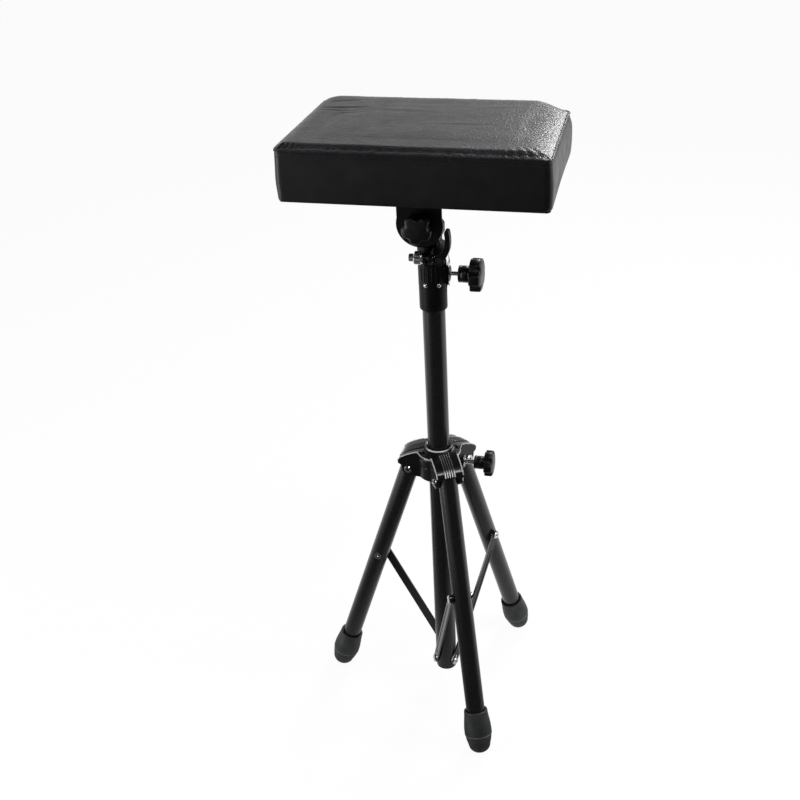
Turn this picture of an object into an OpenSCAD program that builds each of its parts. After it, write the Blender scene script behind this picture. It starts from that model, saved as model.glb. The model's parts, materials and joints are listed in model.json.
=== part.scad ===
// Arm rest stand: a padded rest that tilts on a bracket, a post and a tube that
// telescope out of a column, and three legs that fold with a sliding hub.
// The origin is on the floor under the column's axis. +Z is up, +X runs along
// the pad's long side, and -Y is the side with the tilt knob.

/* [Pad] */
// Length of the pad
pad_l = 280; // [200:1:400]
// Depth of the pad
pad_w = 190; // [140:1:260]
// Height of the pad's side band, from its underside to the seam
pad_side_h = 55; // [40:1:80]
// Height of the crown above the seam
pad_crown_h = 6; // [3:0.5:10]
// Corner radius of the pad
pad_corner_r = 8; // [6:1:24]
// How far each side is drawn in at its middle
pad_draw_in = 2; // [0:0.5:3]
// Thickness of the cover with its wadding at the sides
cover_t = 4; // [3.5:0.5:6]
// Thickness of the wadding under the crown
crown_t = 6; // [4:0.5:10]
// Thickness of the plywood board
board_t = 9; // [6:0.5:15]
// Thickness of the dust cloth under the board
cloth_t = 1; // [0.5:0.1:2]
// Distance of the pad's middle behind the column's axis
pad_back = 9; // [0:1:20]

/* [Tilt bracket] */
// Width of the bracket and of its front cheek
bracket_w = 50; // [46:0.5:58]
// Width of the bracket's back cheek
back_cheek_w = 28; // [24:1:36]
// Distance over the outer faces of the two cheeks
bracket_span = 40; // [36:0.5:50]
// Thickness of the bracket's steel
bracket_t = 2.5; // [2:0.1:4]
// Distance of the tilt pivot below the pad
pivot_drop = 45; // [40:1:60]
// Distance of the tilt pivot from the column's axis
pivot_out = 8; // [5:0.5:12]
// Radius of the front cheek's round lower end
cheek_r = 26; // [25:0.5:27]
// Diameter of the tilt bolt
tilt_bolt_d = 8; // [6:0.5:10]
// Diameter of the bracket's screws
screw_d = 5; // [4:0.5:6]
// Distance between the bracket's screws, both ways
screw_pitch = 22; // [18:1:26]

/* [Tilt knob] */
// Diameter of the tilt knob
tilt_knob_d = 33; // [28:1:38]
// Thickness of the tilt knob's head
tilt_knob_t = 13; // [10:0.5:18]
// Number of lobes of each knob
knob_lobes = 5; // [4:1:7]

/* [Head] */
// Height of the tilt pivot over the clamp ring
pivot_rise = 27.6; // [27.6:0.2:40]
// Diameter of the post
post_d = 19.6; // [18:0.2:20]
// Wall of the post
post_wall = 1.2; // [1:0.1:1.5]
// Length of the post
post_l = 394; // [360:1:400]
// Radius of the tilt block's round top
block_r = 14; // [12:0.5:16]
// Thickness of each friction disc
disc_t = 1.2; // [0.8:0.1:2]

/* [Upper tube and quick clamp] */
// Outer diameter of the upper tube
mast_d = 22.2; // [21.8:0.1:22.4]
// Wall of the upper tube
mast_wall = 1; // [0.9:0.1:1.1]
// Length of the upper tube
mast_l = 417; // [380:1:440]
// Outer diameter of the clamp ring
ring_d = 32; // [29:0.5:36]
// Height of the clamp ring
ring_h = 17.8; // [14:0.2:22]
// Width of the ring's slot
ring_slot = 2.4; // [2:0.2:3]
// Thickness of each of the ring's ears
ear_t = 3.2; // [3:0.1:4]
// Distance of the skewer in front of the column's axis
skewer_out = 26; // [24.5:0.5:28]
// Diameter of the skewer
skewer_d = 4.4; // [4:0.2:5]
// Width of the cam lever
lever_w = 10; // [9:0.5:12]
// Height of the cam lever's tip over the skewer
lever_h = 34; // [28:0.5:40]
// Radius of the cam
cam_r = 6.5; // [6:0.25:7]

/* [Column] */
// Outer diameter of the column
column_d = 26; // [25.8:0.1:27]
// Wall of the column
column_wall = 1; // [0.9:0.1:1.1]
// Length of the column
column_l = 569; // [540:1:600]
// Height of the column's lower end above the floor
column_foot = 23; // [16:0.5:26]
// Height of the smooth sleeve
sleeve_h = 30.5; // [25:0.5:45]
// Outer diameter of the smooth sleeve
sleeve_d = 31.6; // [30:0.2:34]
// Height of the clamp collar
collar_h = 29.5; // [27:0.5:36]
// Outer diameter of the clamp collar
collar_d = 32; // [31:0.2:36]
// Height of the collar above the end of the column
collar_lip = 4.5; // [4:0.25:6]

/* [Height knob] */
// Diameter of the height knob's head
height_knob_d = 38; // [30:1:40]
// Distance of the height knob's head from the column's axis
height_knob_out = 43.5; // [40:0.5:52]
// Thickness of the height knob's head
height_knob_t = 11.5; // [9:0.5:16]
// Diameter of the height knob's stud
height_stud_d = 5; // [4:0.5:6]

/* [Hub] */
// Radius at which the legs are hinged
hinge_r = 35; // [34:0.5:38]
// Height of the leg hinges above the floor
hinge_z = 328; // [312:1:344]
// Radius of the hub's core
core_r = 26; // [24:0.5:28]
// Reach of each lobe of the hub
lobe_reach = 47.5; // [46:0.5:54]
// Width of each lobe
lobe_w = 33; // [31:0.5:36]
// Height of the hub above the leg hinges
hub_rise = 26.5; // [25:0.5:30]
// Depth of the hub below the leg hinges
hub_drop = 9.5; // [8:0.5:12]
// Diameter of the hub knob's head
hub_knob_d = 31; // [26:1:34]
// Distance of the hub knob's head from the column's axis
hub_knob_out = 56; // [52:0.5:62]
// Thickness of the hub knob's head
hub_knob_t = 9; // [8:0.5:14]
// Diameter of the hub knob's stud
hub_stud_d = 6; // [5:0.5:7]

/* [Legs] */
// Azimuth of the front leg
front_leg = -62; // [-70:1:-50]
// Outer diameter of the legs
leg_d = 22.6; // [21:0.2:23]
// Wall of the legs
leg_wall = 1; // [0.8:0.1:1.5]
// Angle of each leg from the upright
leg_angle = 18.7; // [16:0.1:22]
// Distance from the leg hinge to the brace's rivet
brace_at = 146; // [125:1:165]
// Height of the braces' lower rivets above the floor
brace_foot = 33; // [28:1:40]
// Width of the braces
brace_w = 10.6; // [9:0.2:12]
// Thickness of the braces
brace_t = 2; // [1.5:0.1:2.5]
// Diameter of the brace rivets
rivet_d = 5; // [4:0.5:5.5]
// Diameter of the leg hinge rivets
hinge_rivet_d = 6; // [5:0.5:7]

/* [Feet] */
// Length of each rubber foot
foot_l = 55; // [46:1:64]
// Largest radius of each rubber foot
foot_r = 16.8; // [15:0.2:18]
// Radius of each foot's round tip
foot_tip_r = 10; // [9.5:0.1:11]
// Depth to which a leg sits in its foot
foot_cup = 32; // [24:1:36]

/* [Hidden] */
$fn = 72;

// Clearance between bodies that slide on each other
slide_gap = 0.3;
// Clearance of a hinge pin in its hole
run_gap = 0.1;
// Clearance of a piece seated in another of the same body
seat_gap = 0.05;
// Overrun of every cut
over = 1;
// Small edge break of turned and moulded pieces
edge = 1;

// Heights that stack up from the floor
column_top = column_foot + column_l;
collar_top = column_top + collar_lip;
collar_low = collar_top - collar_h;
sleeve_low = collar_low - sleeve_h;
ring_lift = 2.3;
ring_low = collar_top + ring_lift;
ring_top = ring_low + ring_h;
pivot_z = ring_top + pivot_rise;
pad_z = pivot_z + pivot_drop;
board_z = pad_z + cloth_t;
foam_z = board_z + board_t;
seam_z = pad_z + pad_side_h;
crown_z = seam_z + pad_crown_h;

// Radii of the tubes
column_r = column_d / 2;
column_in = column_r - column_wall;
mast_r = mast_d / 2;
mast_in = mast_r - mast_wall;
post_r = post_d / 2;
post_in = post_r - post_wall;
leg_r = leg_d / 2;
leg_in = leg_r - leg_wall;

// Places of the knobs
height_knob_z = (collar_low + collar_top) / 2 - over;
hub_knob_z = hinge_z + hub_drop - 0.5 * edge;
skewer_z = (ring_low + ring_top) / 2 + edge;

// The legs, and the braces that hold them to the foot of the column
leg_azimuths = [front_leg, front_leg + 120, front_leg + 240];
leg_end = hinge_z / cos(leg_angle);
foot_start = leg_end - foot_l;
foot_tip = leg_end - (foot_tip_r - edge) / cos(leg_angle);
leg_over = 9;
brace_out = hinge_r + brace_at * sin(leg_angle);
brace_high = hinge_z - brace_at * cos(leg_angle);
brace_l = norm([brace_out, brace_high - brace_foot]);
brace_angle = atan(brace_out / (brace_high - brace_foot));
brace_side = column_r + slide_gap;
// The lower hole is long and wide, because the fold's turns keep constant ratios
brace_slot = 4.2;
brace_slot_r = rivet_d / 2 + 1.2;

// Places two cylinders of the same name on an axis along X or along Y
module along_x() { rotate([0, 90, 0]) children(); }
module along_y() { rotate([-90, 0, 0]) children(); }

module rod(r, l) { cylinder(r = r, h = l); }

module tube(r_out, r_in, l) {
    difference() {
        rod(r_out, l);
        translate([0, 0, -over]) rod(r_in, l + 2 * over);
    }
}

module ring_bar(r_out, r_in, l) { tube(r_out, r_in, l); }

// A box in the middle of X and Y, standing on z = 0
module block(l, w, h) { translate([-l / 2, -w / 2, 0]) cube([l, w, h]); }

// A flat outline with round corners, from plain shapes
module round_rect(l, w, r) {
    square([l - 2 * r, w], center = true);
    square([l, w - 2 * r], center = true);
    for (x = [-1, 1], y = [-1, 1]) translate([x * (l / 2 - r), y * (w / 2 - r)]) circle(r);
}

// Star knob along +Z: a collar, a lobed head and a domed face, with a blind bore
notch_share = 0.36;
notch_place_share = 1.16;
dome_share = 0.4;
module star_knob(r, head_t, collar_r, collar_l, bore_r, bore_l) {
    difference() {
        union() {
            rod(collar_r, collar_l + edge);
            translate([0, 0, collar_l]) intersection() {
                linear_extrude(head_t + dome_share * head_t) difference() {
                    circle(r);
                    for (i = [0:knob_lobes - 1]) rotate(i * 360 / knob_lobes)
                        translate([notch_place_share * r, 0]) circle(notch_share * r);
                }
                rotate_extrude() polygon(knob_section(r, head_t));
            }
        }
        translate([0, 0, -over]) rod(bore_r, bore_l + over);
    }
}
function knob_section(r, t) = concat(
    [[0, 0], [r - edge, 0], [r, edge], [r, t - edge]],
    [for (a = [15:15:90]) [(r - edge) * cos(a) + edge * cos(a) * (1 - a / 90),
        t - edge + (dome_share * t + edge) * sin(a)]]);

// Pad: rings of a rounded outline, drawn in at the middle of each side
pad_ring_n = 12;
function corner_point(x, y, r, a) = [x + r * cos(a), y + r * sin(a)];
function drawn(p, l, w) = [
    p[0] - sign(p[0]) * pad_draw_in * draw_share(p[1], w / 2) * pow(abs(p[0]) / (l / 2), 8),
    p[1] - sign(p[1]) * pad_draw_in * draw_share(p[0], l / 2) * pow(abs(p[1]) / (w / 2), 8)];
function draw_share(v, half) = 1 - pow(min(1, abs(v) / half), 2);
function pad_ring(inset, l = pad_l, w = pad_w) = let (
        r = max(pad_corner_r - 0.6 * inset, pad_corner_r / 3),
        hx = l / 2 - inset - r,
        hy = w / 2 - inset - r)
    [for (q = [0:3]) let (sx = [1, -1, -1, 1][q], sy = [1, 1, -1, -1][q])
        each concat(
            [for (i = [0:6]) drawn(corner_point(sx * hx, sy * hy, r, 90 * q + 15 * i), l, w)],
            [for (i = [1:5]) let (k = i / 6) q % 2 == 0
                ? drawn([sx * hx * (1 - 2 * k), sy * (hy + r)], l, w)
                : drawn([sx * (hx + r), sy * hy * (1 - 2 * k)], l, w)])];
// Inset and height of each ring, as shares of the side's height and of the crown
side_shares = [[0.5, 0], [0.12, 0.03], [0, 0.1], [-0.25, 0.35], [-0.25, 0.65], [0.1, 0.94], [0.9, 1]];
crown_shares = [[1.9, 0.22], [5, 0.42], [12, 0.6], [24, 0.76], [42, 0.9], [60, 0.97], [80, 1]];
pad_levels = concat(
    [for (s = side_shares) [s[0] * pad_draw_in, s[1] * pad_side_h]],
    [for (s = crown_shares) [s[0] / 80 * 0.84 * pad_w / 2, pad_side_h + s[1] * pad_crown_h]]);
module pad_form() {
    rings = [for (v = pad_levels) [for (p = pad_ring(v[0])) [p[0], p[1], v[1]]]];
    n = len(rings[0]);
    m = len(rings);
    points = concat([for (ring = rings) each ring], [[0, 0, 0], [0, 0, pad_side_h + pad_crown_h]]);
    polyhedron(points, concat(
        [for (j = [0:m - 2], i = [0:n - 1]) each [
            [j * n + i, (j + 1) * n + i, (j + 1) * n + (i + 1) % n],
            [j * n + i, (j + 1) * n + (i + 1) % n, j * n + (i + 1) % n]]],
        [for (i = [0:n - 1]) [m * n, i, (i + 1) % n]],
        [for (i = [0:n - 1]) [m * n + 1, (m - 1) * n + (i + 1) % n, (m - 1) * n + i]]));
}

pad_in_l = pad_l - 2 * cover_t;
pad_in_w = pad_w - 2 * cover_t;
pad_in_r = max(pad_corner_r - cover_t, edge);
foam_top = seam_z - crown_t + pad_crown_h / 2;
module pad_core(z, h, gap) {
    translate([0, pad_back, z]) linear_extrude(h)
        round_rect(pad_in_l - 2 * gap, pad_in_w - 2 * gap, pad_in_r - gap);
}
module pad_cover() {
    color("#1b1b1c") difference() {
        translate([0, pad_back, pad_z]) pad_form();
        pad_core(pad_z - over, foam_top + seat_gap - pad_z + over, 0);
    }
}
module pad_foam() {
    color("#d8d2b8") pad_core(foam_z, foam_top - foam_z, seat_gap);
}

// The bracket's screws hold the board by tee nuts let into its upper face
tee_r = 0.7 * screw_d;
tee_flange_r = 1.8 * screw_d;
tee_flange_t = 1.2;
module at_screws() {
    for (x = [-1, 1], y = [-1, 1])
        translate([x * screw_pitch / 2 - pivot_out, y * screw_pitch / 2, 0]) children();
}
module pad_board() {
    color("#c79a62") difference() {
        pad_core(board_z, board_t, seat_gap);
        at_screws() translate([0, 0, board_z - over]) rod(tee_r + seat_gap, board_t + 2 * over);
        at_screws() translate([0, 0, foam_z - tee_flange_t - seat_gap])
            rod(tee_flange_r + seat_gap, tee_flange_t + over);
    }
}
module pad_bottom_cloth() {
    color("#232323") difference() {
        pad_core(pad_z, cloth_t, seat_gap);
        at_screws() translate([0, 0, pad_z - over]) rod(tee_r + seat_gap, cloth_t + 2 * over);
    }
}
module board_tee_nuts() {
    color("silver") at_screws() difference() {
        union() {
            translate([0, 0, board_z]) rod(tee_r, board_t - tee_flange_t);
            translate([0, 0, foam_z - tee_flange_t]) rod(tee_flange_r, tee_flange_t);
        }
        translate([0, 0, board_z - over]) rod(screw_d / 2 + seat_gap, board_t + 2 * over);
    }
}
web_low = pad_z - bracket_t;
screw_head_r = 0.95 * screw_d;
screw_head_h = 0.55 * screw_d;
module bracket_screws() {
    color("silver") at_screws() translate([0, 0, web_low]) {
        rod(screw_d / 2, bracket_t + cloth_t + board_t - tee_flange_t);
        rotate([180, 0, 0]) difference() {
            union() {
                rod(screw_head_r, screw_head_h - edge / 2);
                rod(screw_head_r - edge, screw_head_h);
            }
            translate([0, 0, screw_head_h - edge]) linear_extrude(over + edge)
                for (a = [0, 90]) rotate(a) square([screw_head_r, edge], center = true);
        }
    }
}

// U bracket: a web under the pad, a wide front cheek and a narrow back one, with round lower ends
cheek_in = bracket_span / 2 - bracket_t;
module cheek_outline(w, r) {
    translate([-w / 2, 0]) square([w, pivot_drop]);
    circle(r);
}
module cheek(s, w, r) {
    translate([0, s * (bracket_span / 2 - bracket_t / 2), 0])
        rotate([90, 0, 0]) linear_extrude(bracket_t, center = true) cheek_outline(w, r);
    translate([-w / 2, 0, pivot_drop - bracket_t]) bend_fillet(s, w);
}
module tilt_bracket() {
    color("#1a1a1a") translate([-pivot_out, 0, pivot_z]) difference() {
        union() {
            cheek(-1, bracket_w, cheek_r);
            cheek(1, back_cheek_w, back_cheek_w / 2);
            translate([0, 0, pivot_drop - bracket_t]) block(bracket_w, bracket_span, bracket_t);
        }
        along_y() translate([0, 0, -bracket_span]) rod(tilt_bolt_d / 2 + seat_gap, 2 * bracket_span);
        translate([pivot_out, 0, -pivot_z]) at_screws() translate([0, 0, web_low - over])
            rod(screw_d / 2 + run_gap, bracket_t + 2 * over);
    }
}
// The inner fillet where a cheek is bent from the web
module bend_fillet(s, l) {
    f = bracket_t;
    translate([0, s * cheek_in, 0]) rotate([90, 0, 90]) linear_extrude(l) difference() {
        translate([s > 0 ? -f : 0, -f]) square(f);
        translate([-s * f, -f]) circle(f);
    }
}

// Carriage bolt from the back cheek to the tilt knob in front
washer_t = 1.5;
bolt_front = bracket_span / 2 + washer_t + tilt_knob_t;
module tilt_bolt() {
    head_r = tilt_bolt_d;
    head_h = 0.45 * tilt_bolt_d;
    color("silver") translate([-pivot_out, 0, pivot_z]) {
        translate([0, bracket_span / 2, 0]) rotate([90, 0, 0]) rod(tilt_bolt_d / 2, bracket_span / 2 + bolt_front);
        translate([0, bracket_span / 2, 0]) along_y() rotate_extrude() polygon([[0, 0], [head_r, 0],
            [head_r, 0.2 * head_h], [0.85 * head_r, 0.6 * head_h], [0.5 * head_r, 0.9 * head_h], [0, head_h]]);
    }
}
module tilt_washer() {
    color("silver") translate([-pivot_out, -bracket_span / 2, pivot_z]) rotate([90, 0, 0])
        ring_bar(tilt_bolt_d * 1.1, tilt_bolt_d / 2 + seat_gap, washer_t);
}
insert_r = 0.75 * tilt_bolt_d;
knob_start = bracket_span / 2 + washer_t + slide_gap;
tilt_dome = dome_share * tilt_knob_t;
tilt_collar = 3;
module at_tilt_knob() {
    translate([-pivot_out, -knob_start, pivot_z]) rotate([90, 0, 0]) children();
}
module tilt_knob() {
    color("#202020") at_tilt_knob() star_knob(tilt_knob_d / 2, tilt_knob_t, insert_r + 3 * edge,
        tilt_collar, insert_r + seat_gap, tilt_knob_t);
}
module tilt_knob_insert() {
    color("#b08d3a") at_tilt_knob() ring_bar(insert_r, tilt_bolt_d / 2 + run_gap, tilt_knob_t);
}

// Tilt block between the cheeks, on top of the post
block_half = cheek_in - disc_t - slide_gap;
block_low = ring_top + slide_gap + 3 * edge;
block_neck_r = post_r + 2.4 * edge;
socket_top = pivot_z - tilt_bolt_d / 2 - 5 * edge;
module head_block() {
    color("#1d1d1d") difference() {
        union() {
            translate([-pivot_out, 0, pivot_z]) rotate([90, 0, 0])
                linear_extrude(2 * block_half, center = true) {
                    circle(block_r);
                    polygon([[-block_r, 0], [block_r, 0], [pivot_out + block_neck_r, socket_top - pivot_z],
                        [pivot_out + block_neck_r, block_low + 5 * edge - pivot_z],
                        [pivot_out - block_neck_r, block_low + 5 * edge - pivot_z]]);
                }
            translate([0, 0, block_low]) rod(block_neck_r, socket_top - block_low);
        }
        translate([0, 0, block_low - over]) rod(post_r + seat_gap, socket_top - block_low + over);
        translate([-pivot_out, 0, pivot_z]) along_y() translate([0, 0, -bracket_span])
            rod(tilt_bolt_d / 2 + run_gap, 2 * bracket_span);
        at_post_pin() rod(pin_r + seat_gap, 2 * bracket_span);
    }
}
module friction_discs() {
    color("#3a3a3a") for (s = [0, 180]) translate([-pivot_out, 0, pivot_z]) rotate([0, 0, s])
        translate([0, block_half, 0]) along_y() ring_bar(block_r, tilt_bolt_d / 2 + run_gap, disc_t);
}
post_top = socket_top - seat_gap;
post_low = post_top - post_l;
pin_r = 1.5;
module at_post_pin() {
    translate([0, -bracket_span, block_low + 6 * edge]) along_y() children();
}
module head_post() {
    color("#151515") difference() {
        translate([0, 0, post_low]) tube(post_r, post_in, post_l);
        at_post_pin() rod(pin_r + seat_gap, 2 * bracket_span);
    }
}
module post_pin() {
    color("silver") translate([0, -block_half + edge, block_low + 6 * edge]) along_y()
        ring_bar(pin_r, pin_r / 2, 2 * (block_half - edge));
}

// Upper tube with its slit end, and the quick clamp round it
ears_mid = 1.3;
ear_reach = skewer_out + 6 * edge;
module clamp_slot(w) {
    translate([ears_mid - w / 2, -2 * ear_reach, ring_low - over]) cube([w, 2 * ear_reach, ring_h + 2 * over]);
}
module upper_tube() {
    color("#151515") difference() {
        translate([0, 0, ring_top - mast_l]) tube(mast_r, mast_in, mast_l);
        clamp_slot(ring_slot);
    }
}
module clamp_ring() {
    ears_w = 2 * ear_t + ring_slot;
    color("#1c1c1c") difference() {
        union() {
            translate([0, 0, ring_low]) rotate_extrude() polygon([[mast_r + seat_gap, 0],
                [ring_d / 2 - edge, 0], [ring_d / 2, edge], [ring_d / 2, ring_h - edge],
                [ring_d / 2 - edge, ring_h], [mast_r + seat_gap, ring_h]]);
            translate([ears_mid - ears_w / 2, -skewer_out, ring_low])
                cube([ears_w, skewer_out - mast_r - edge, ring_h]);
            translate([ears_mid - ears_w / 2, -skewer_out, skewer_z]) along_x() intersection() {
                rod(ear_reach - skewer_out + edge, ears_w);
                translate([-(ring_top - skewer_z), -ring_h, 0]) cube([ring_h, 2 * ring_h, ears_w]);
            }
        }
        clamp_slot(ring_slot);
        at_skewer(-ring_d) rod(skewer_d / 2 + seat_gap, 2 * ring_d);
        translate([0, 0, ring_low - over]) rod(mast_r + seat_gap, ring_h + 2 * over);
    }
}
module at_skewer(x) { translate([x, -skewer_out, skewer_z]) along_x() children(); }
ear_left = ears_mid - ring_slot / 2 - ear_t;
ear_right = ears_mid + ring_slot / 2 + ear_t;
washer_right = ear_right + seat_gap;
cam_x = washer_right + washer_t + slide_gap + cam_r;
nut_r = 7.5;
nut_tail_r = 4.6;
nut_body_l = 10;
nut_l = 16;
nut_right = ear_left - slide_gap;
module skewer_rod() {
    color("silver") at_skewer(nut_right - nut_l + 2 * edge)
        rod(skewer_d / 2, cam_x - nut_right + nut_l - 2 * edge);
}
module skewer_washer() {
    color("#1a1a1a") at_skewer(washer_right) ring_bar(cam_r - 2 * edge, skewer_d / 2 + seat_gap, washer_t);
}
module skewer_nut() {
    color("#d0d0d0") at_skewer(nut_right - nut_l) difference() {
        rotate_extrude() polygon([[skewer_d / 2 + run_gap, 0], [nut_tail_r - edge / 2, 0],
            [nut_tail_r, edge / 2], [nut_tail_r, nut_l - nut_body_l - edge],
            [nut_r - edge, nut_l - nut_body_l], [nut_r, nut_l - nut_body_l + edge],
            [nut_r, nut_l - 2 * edge], [nut_r - edge, nut_l - edge], [nut_r - edge, nut_l],
            [skewer_d / 2 + run_gap, nut_l]]);
        for (i = [0:5]) rotate(60 * i) translate([nut_r + edge, 0, nut_l - nut_body_l - edge])
            rod(2 * edge, nut_body_l - edge);
    }
}
cam_pin_r = 3.6;
module at_cam() { translate([cam_x, -skewer_out, skewer_z]) rotate([90, 0, 0]) children(); }
module cam_pin() {
    color("#1a1a1a") difference() {
        at_cam() translate([0, 0, -lever_w / 2]) rod(cam_pin_r, lever_w);
        at_skewer(cam_x - 2 * cam_pin_r) rod(skewer_d / 2 + seat_gap, 2 * cam_pin_r + seat_gap);
    }
}

// Cam lever: an arm that bows outward and thins towards its tip
lever_tip_x = 9.6;
lever_bow_x = 13;
function lever_mid(t) = (1 - t) * (1 - t) * [edge, 2 * edge]
    + 2 * t * (1 - t) * [lever_bow_x, 0.3 * lever_h]
    + t * t * [lever_tip_x, 0.93 * lever_h];
function lever_half(t) = (0.78 - 0.7 * t + 0.32 * t * t) * cam_r;
function lever_side(t, s) = let (
        d = lever_mid(t + 0.01) - lever_mid(t - 0.01),
        n = [d[1], -d[0]] / norm(d))
    lever_mid(t) + s * lever_half(t) * n;
module lever_outline() {
    circle(cam_r);
    translate(lever_mid(1)) circle(lever_half(1));
    polygon(concat([for (t = [0:0.1:1]) lever_side(t, 1)], [for (t = [1:-0.1:0]) lever_side(t, -1)]));
}
module cam_lever() {
    fork = skewer_d + 2 * slide_gap;
    color("#191919") at_cam() difference() {
        linear_extrude(lever_w, center = true) lever_outline();
        translate([0, 0, -lever_w]) rod(cam_pin_r + run_gap, 2 * lever_w);
        translate([-2 * cam_r, -2 * cam_r, -fork / 2]) cube([2 * cam_r, 4 * cam_r, fork]);
        translate([-2 * cam_r, -2 * cam_r, -fork / 2]) cube([4 * cam_r, 2 * cam_r + edge, fork]);
    }
}

// Bush at the upper tube's lower end, which guides it in the column
bush_h = 12;
bush_z = ring_top - mast_l - slide_gap - bush_h;
module guide_bush() {
    color("#e8e8e8") translate([0, 0, bush_z]) difference() {
        rod(column_in - run_gap, 2 * bush_h);
        translate([0, 0, -over]) rod(post_r + slide_gap, bush_h + over);
        translate([0, 0, bush_h]) rod(mast_r + run_gap, bush_h + over);
    }
}

// The column, its plug and the collar and sleeve at its top
module at_lower_rivets() {
    for (a = leg_azimuths) rotate([0, 0, a - 90]) translate([0, 0, brace_foot]) along_x() children();
}
module column_tube() {
    color("#141414") difference() {
        translate([0, 0, column_foot]) tube(column_r, column_in, column_l);
        at_lower_rivets() rod(rivet_d / 2 + seat_gap, column_d);
        translate([0, 0, height_knob_z]) along_x() rod(height_stud_d / 2 + run_gap, column_d);
        at_collar_screws() translate([0, 0, -over]) rod(collar_screw_r + seat_gap, column_d);
    }
}
plug_t = 2;
module column_plug() {
    color("#101010") translate([0, 0, column_foot - plug_t]) difference() {
        union() {
            rod(column_r - edge / 2, plug_t);
            rod(column_in - seat_gap, 4 * plug_t);
        }
        translate([0, 0, plug_t]) rod(column_in - 2 * edge, 4 * plug_t);
    }
}
rivet_head_r = 0.96 * rivet_d;
rivet_head_h = 1.6;
// A hollow rivet along +Z from z = 0 to l, with a rolled head at its far end
module hollow_rivet(r, l, head_r) {
    rotate_extrude() polygon([[r / 2, 0], [r, 0], [r, l], [head_r - edge / 2, l], [head_r, l + edge / 2],
        [0.85 * head_r, l + rivet_head_h], [0.6 * r, l + rivet_head_h], [r / 2, l + 0.8 * rivet_head_h]]);
}
module lower_brace_rivets() {
    start = column_in - 3 * edge;
    color("silver") at_lower_rivets() translate([0, 0, start])
        hollow_rivet(rivet_d / 2, brace_side + brace_t + slide_gap - start, rivet_head_r);
}
collar_screw_r = 1.5;
collar_screw_turns = [-108, -52];
collar_screw_up = 3.6;
module at_collar_screws() {
    for (a = collar_screw_turns) rotate([0, 0, a])
        translate([column_in, 0, collar_low + collar_screw_up]) along_x() children();
}
module tube_sleeve() {
    chamfer = 2.5;
    color("#1a1a1a") difference() {
        translate([0, 0, sleeve_low]) rotate_extrude() polygon([[column_r + seat_gap, 0],
            [sleeve_d / 2 - chamfer, 0], [sleeve_d / 2, chamfer], [sleeve_d / 2, sleeve_h],
            [column_r + seat_gap, sleeve_h]]);
        at_collar_screws() rod(2 * collar_screw_r + seat_gap, sleeve_d);
    }
}
module collar_screws() {
    l = collar_d / 2 - column_in;
    color("silver") at_collar_screws() {
        rod(collar_screw_r, l);
        intersection() {
            translate([0, 0, l]) rod(2 * collar_screw_r, 2 * edge);
            difference() {
                translate([0, 0, l - 2 * edge]) sphere(2.2 * collar_screw_r);
                translate([0, 0, l + edge]) linear_extrude(2 * edge)
                    square([4 * collar_screw_r, collar_screw_r / 2], center = true);
            }
        }
    }
}

// Clamp collar: a moulding with upright ribs in front and a boss for the knob
boss_reach = 20;
boss_r = 8.5;
rib_turns = [-128, -112, -96, -80, -64, -48];
nut_plate_t = 3;
nut_plate_w = 10;
nut_plate_h = 24;
nut_plate_x = collar_d / 2 + edge / 2;
module nut_plate_box(gap) {
    translate([nut_plate_x - gap, -nut_plate_w / 2 - gap, height_knob_z - nut_plate_h / 2 - gap])
        cube([nut_plate_t + 2 * gap, nut_plate_w + 2 * gap, nut_plate_h + 2 * gap]);
}
module clamp_collar() {
    bore = column_r + seat_gap;
    color("#181818") difference() {
        union() {
            translate([0, 0, collar_low]) rotate_extrude() polygon([[bore, 0], [collar_d / 2, 0],
                [collar_d / 2, collar_h - 1.5 * edge], [collar_d / 2 - 1.5 * edge, collar_h], [bore, collar_h]]);
            for (a = rib_turns) rotate([0, 0, a]) translate([collar_d / 2 - edge, -edge / 2, collar_low + 8 * edge])
                cube([edge + edge / 2, edge, collar_h - 12 * edge]);
            translate([0, 0, height_knob_z]) along_x() rod(boss_r, boss_reach);
            translate([0, -boss_r, height_knob_z - boss_r]) cube([boss_reach - 3 * edge, 2 * boss_r, 2 * boss_r]);
        }
        translate([0, 0, collar_low - over]) rod(bore, collar_h + 2 * over);
        nut_plate_box(seat_gap);
        translate([0, 0, height_knob_z]) along_x() rod(height_stud_d / 2 + run_gap, 2 * boss_reach);
        at_collar_screws() rod(collar_screw_r + seat_gap, collar_d);
    }
}
module collar_nut() {
    color("silver") difference() {
        nut_plate_box(0);
        translate([0, 0, height_knob_z]) along_x() rod(height_stud_d / 2 + run_gap, 2 * boss_reach);
    }
}
liner_l = 47;
liner_flange_t = 2;
module collar_liner() {
    color("#e8e8e8") difference() {
        union() {
            translate([0, 0, column_top - liner_l]) rod(column_in - seat_gap, liner_l);
            translate([0, 0, column_top]) rod(column_r - seat_gap, liner_flange_t);
        }
        translate([0, 0, column_top - liner_l - over])
            rod(mast_r + slide_gap, liner_l + liner_flange_t + 2 * over);
        translate([-column_r, -ring_slot / 2, column_top - liner_l - over])
            cube([column_r, ring_slot / 2, liner_l + liner_flange_t + 2 * over]);
    }
}

// Height knob with its stud, which presses on the liner
stud_start = column_in - seat_gap + slide_gap;
knob_collar_l = 13.5;
knob_collar_r = 9.6;
stud_sink = 6;
module at_height_knob(x) { translate([x, 0, height_knob_z]) along_x() children(); }
module height_stud() {
    color("silver") at_height_knob(stud_start)
        rod(height_stud_d / 2, height_knob_out - knob_collar_l + stud_sink - stud_start);
}
module height_knob() {
    color("#1e1e1e") at_height_knob(height_knob_out - knob_collar_l)
        star_knob(height_knob_d / 2, height_knob_t, knob_collar_r, knob_collar_l,
            height_stud_d / 2 + seat_gap, stud_sink + seat_gap);
}

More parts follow.
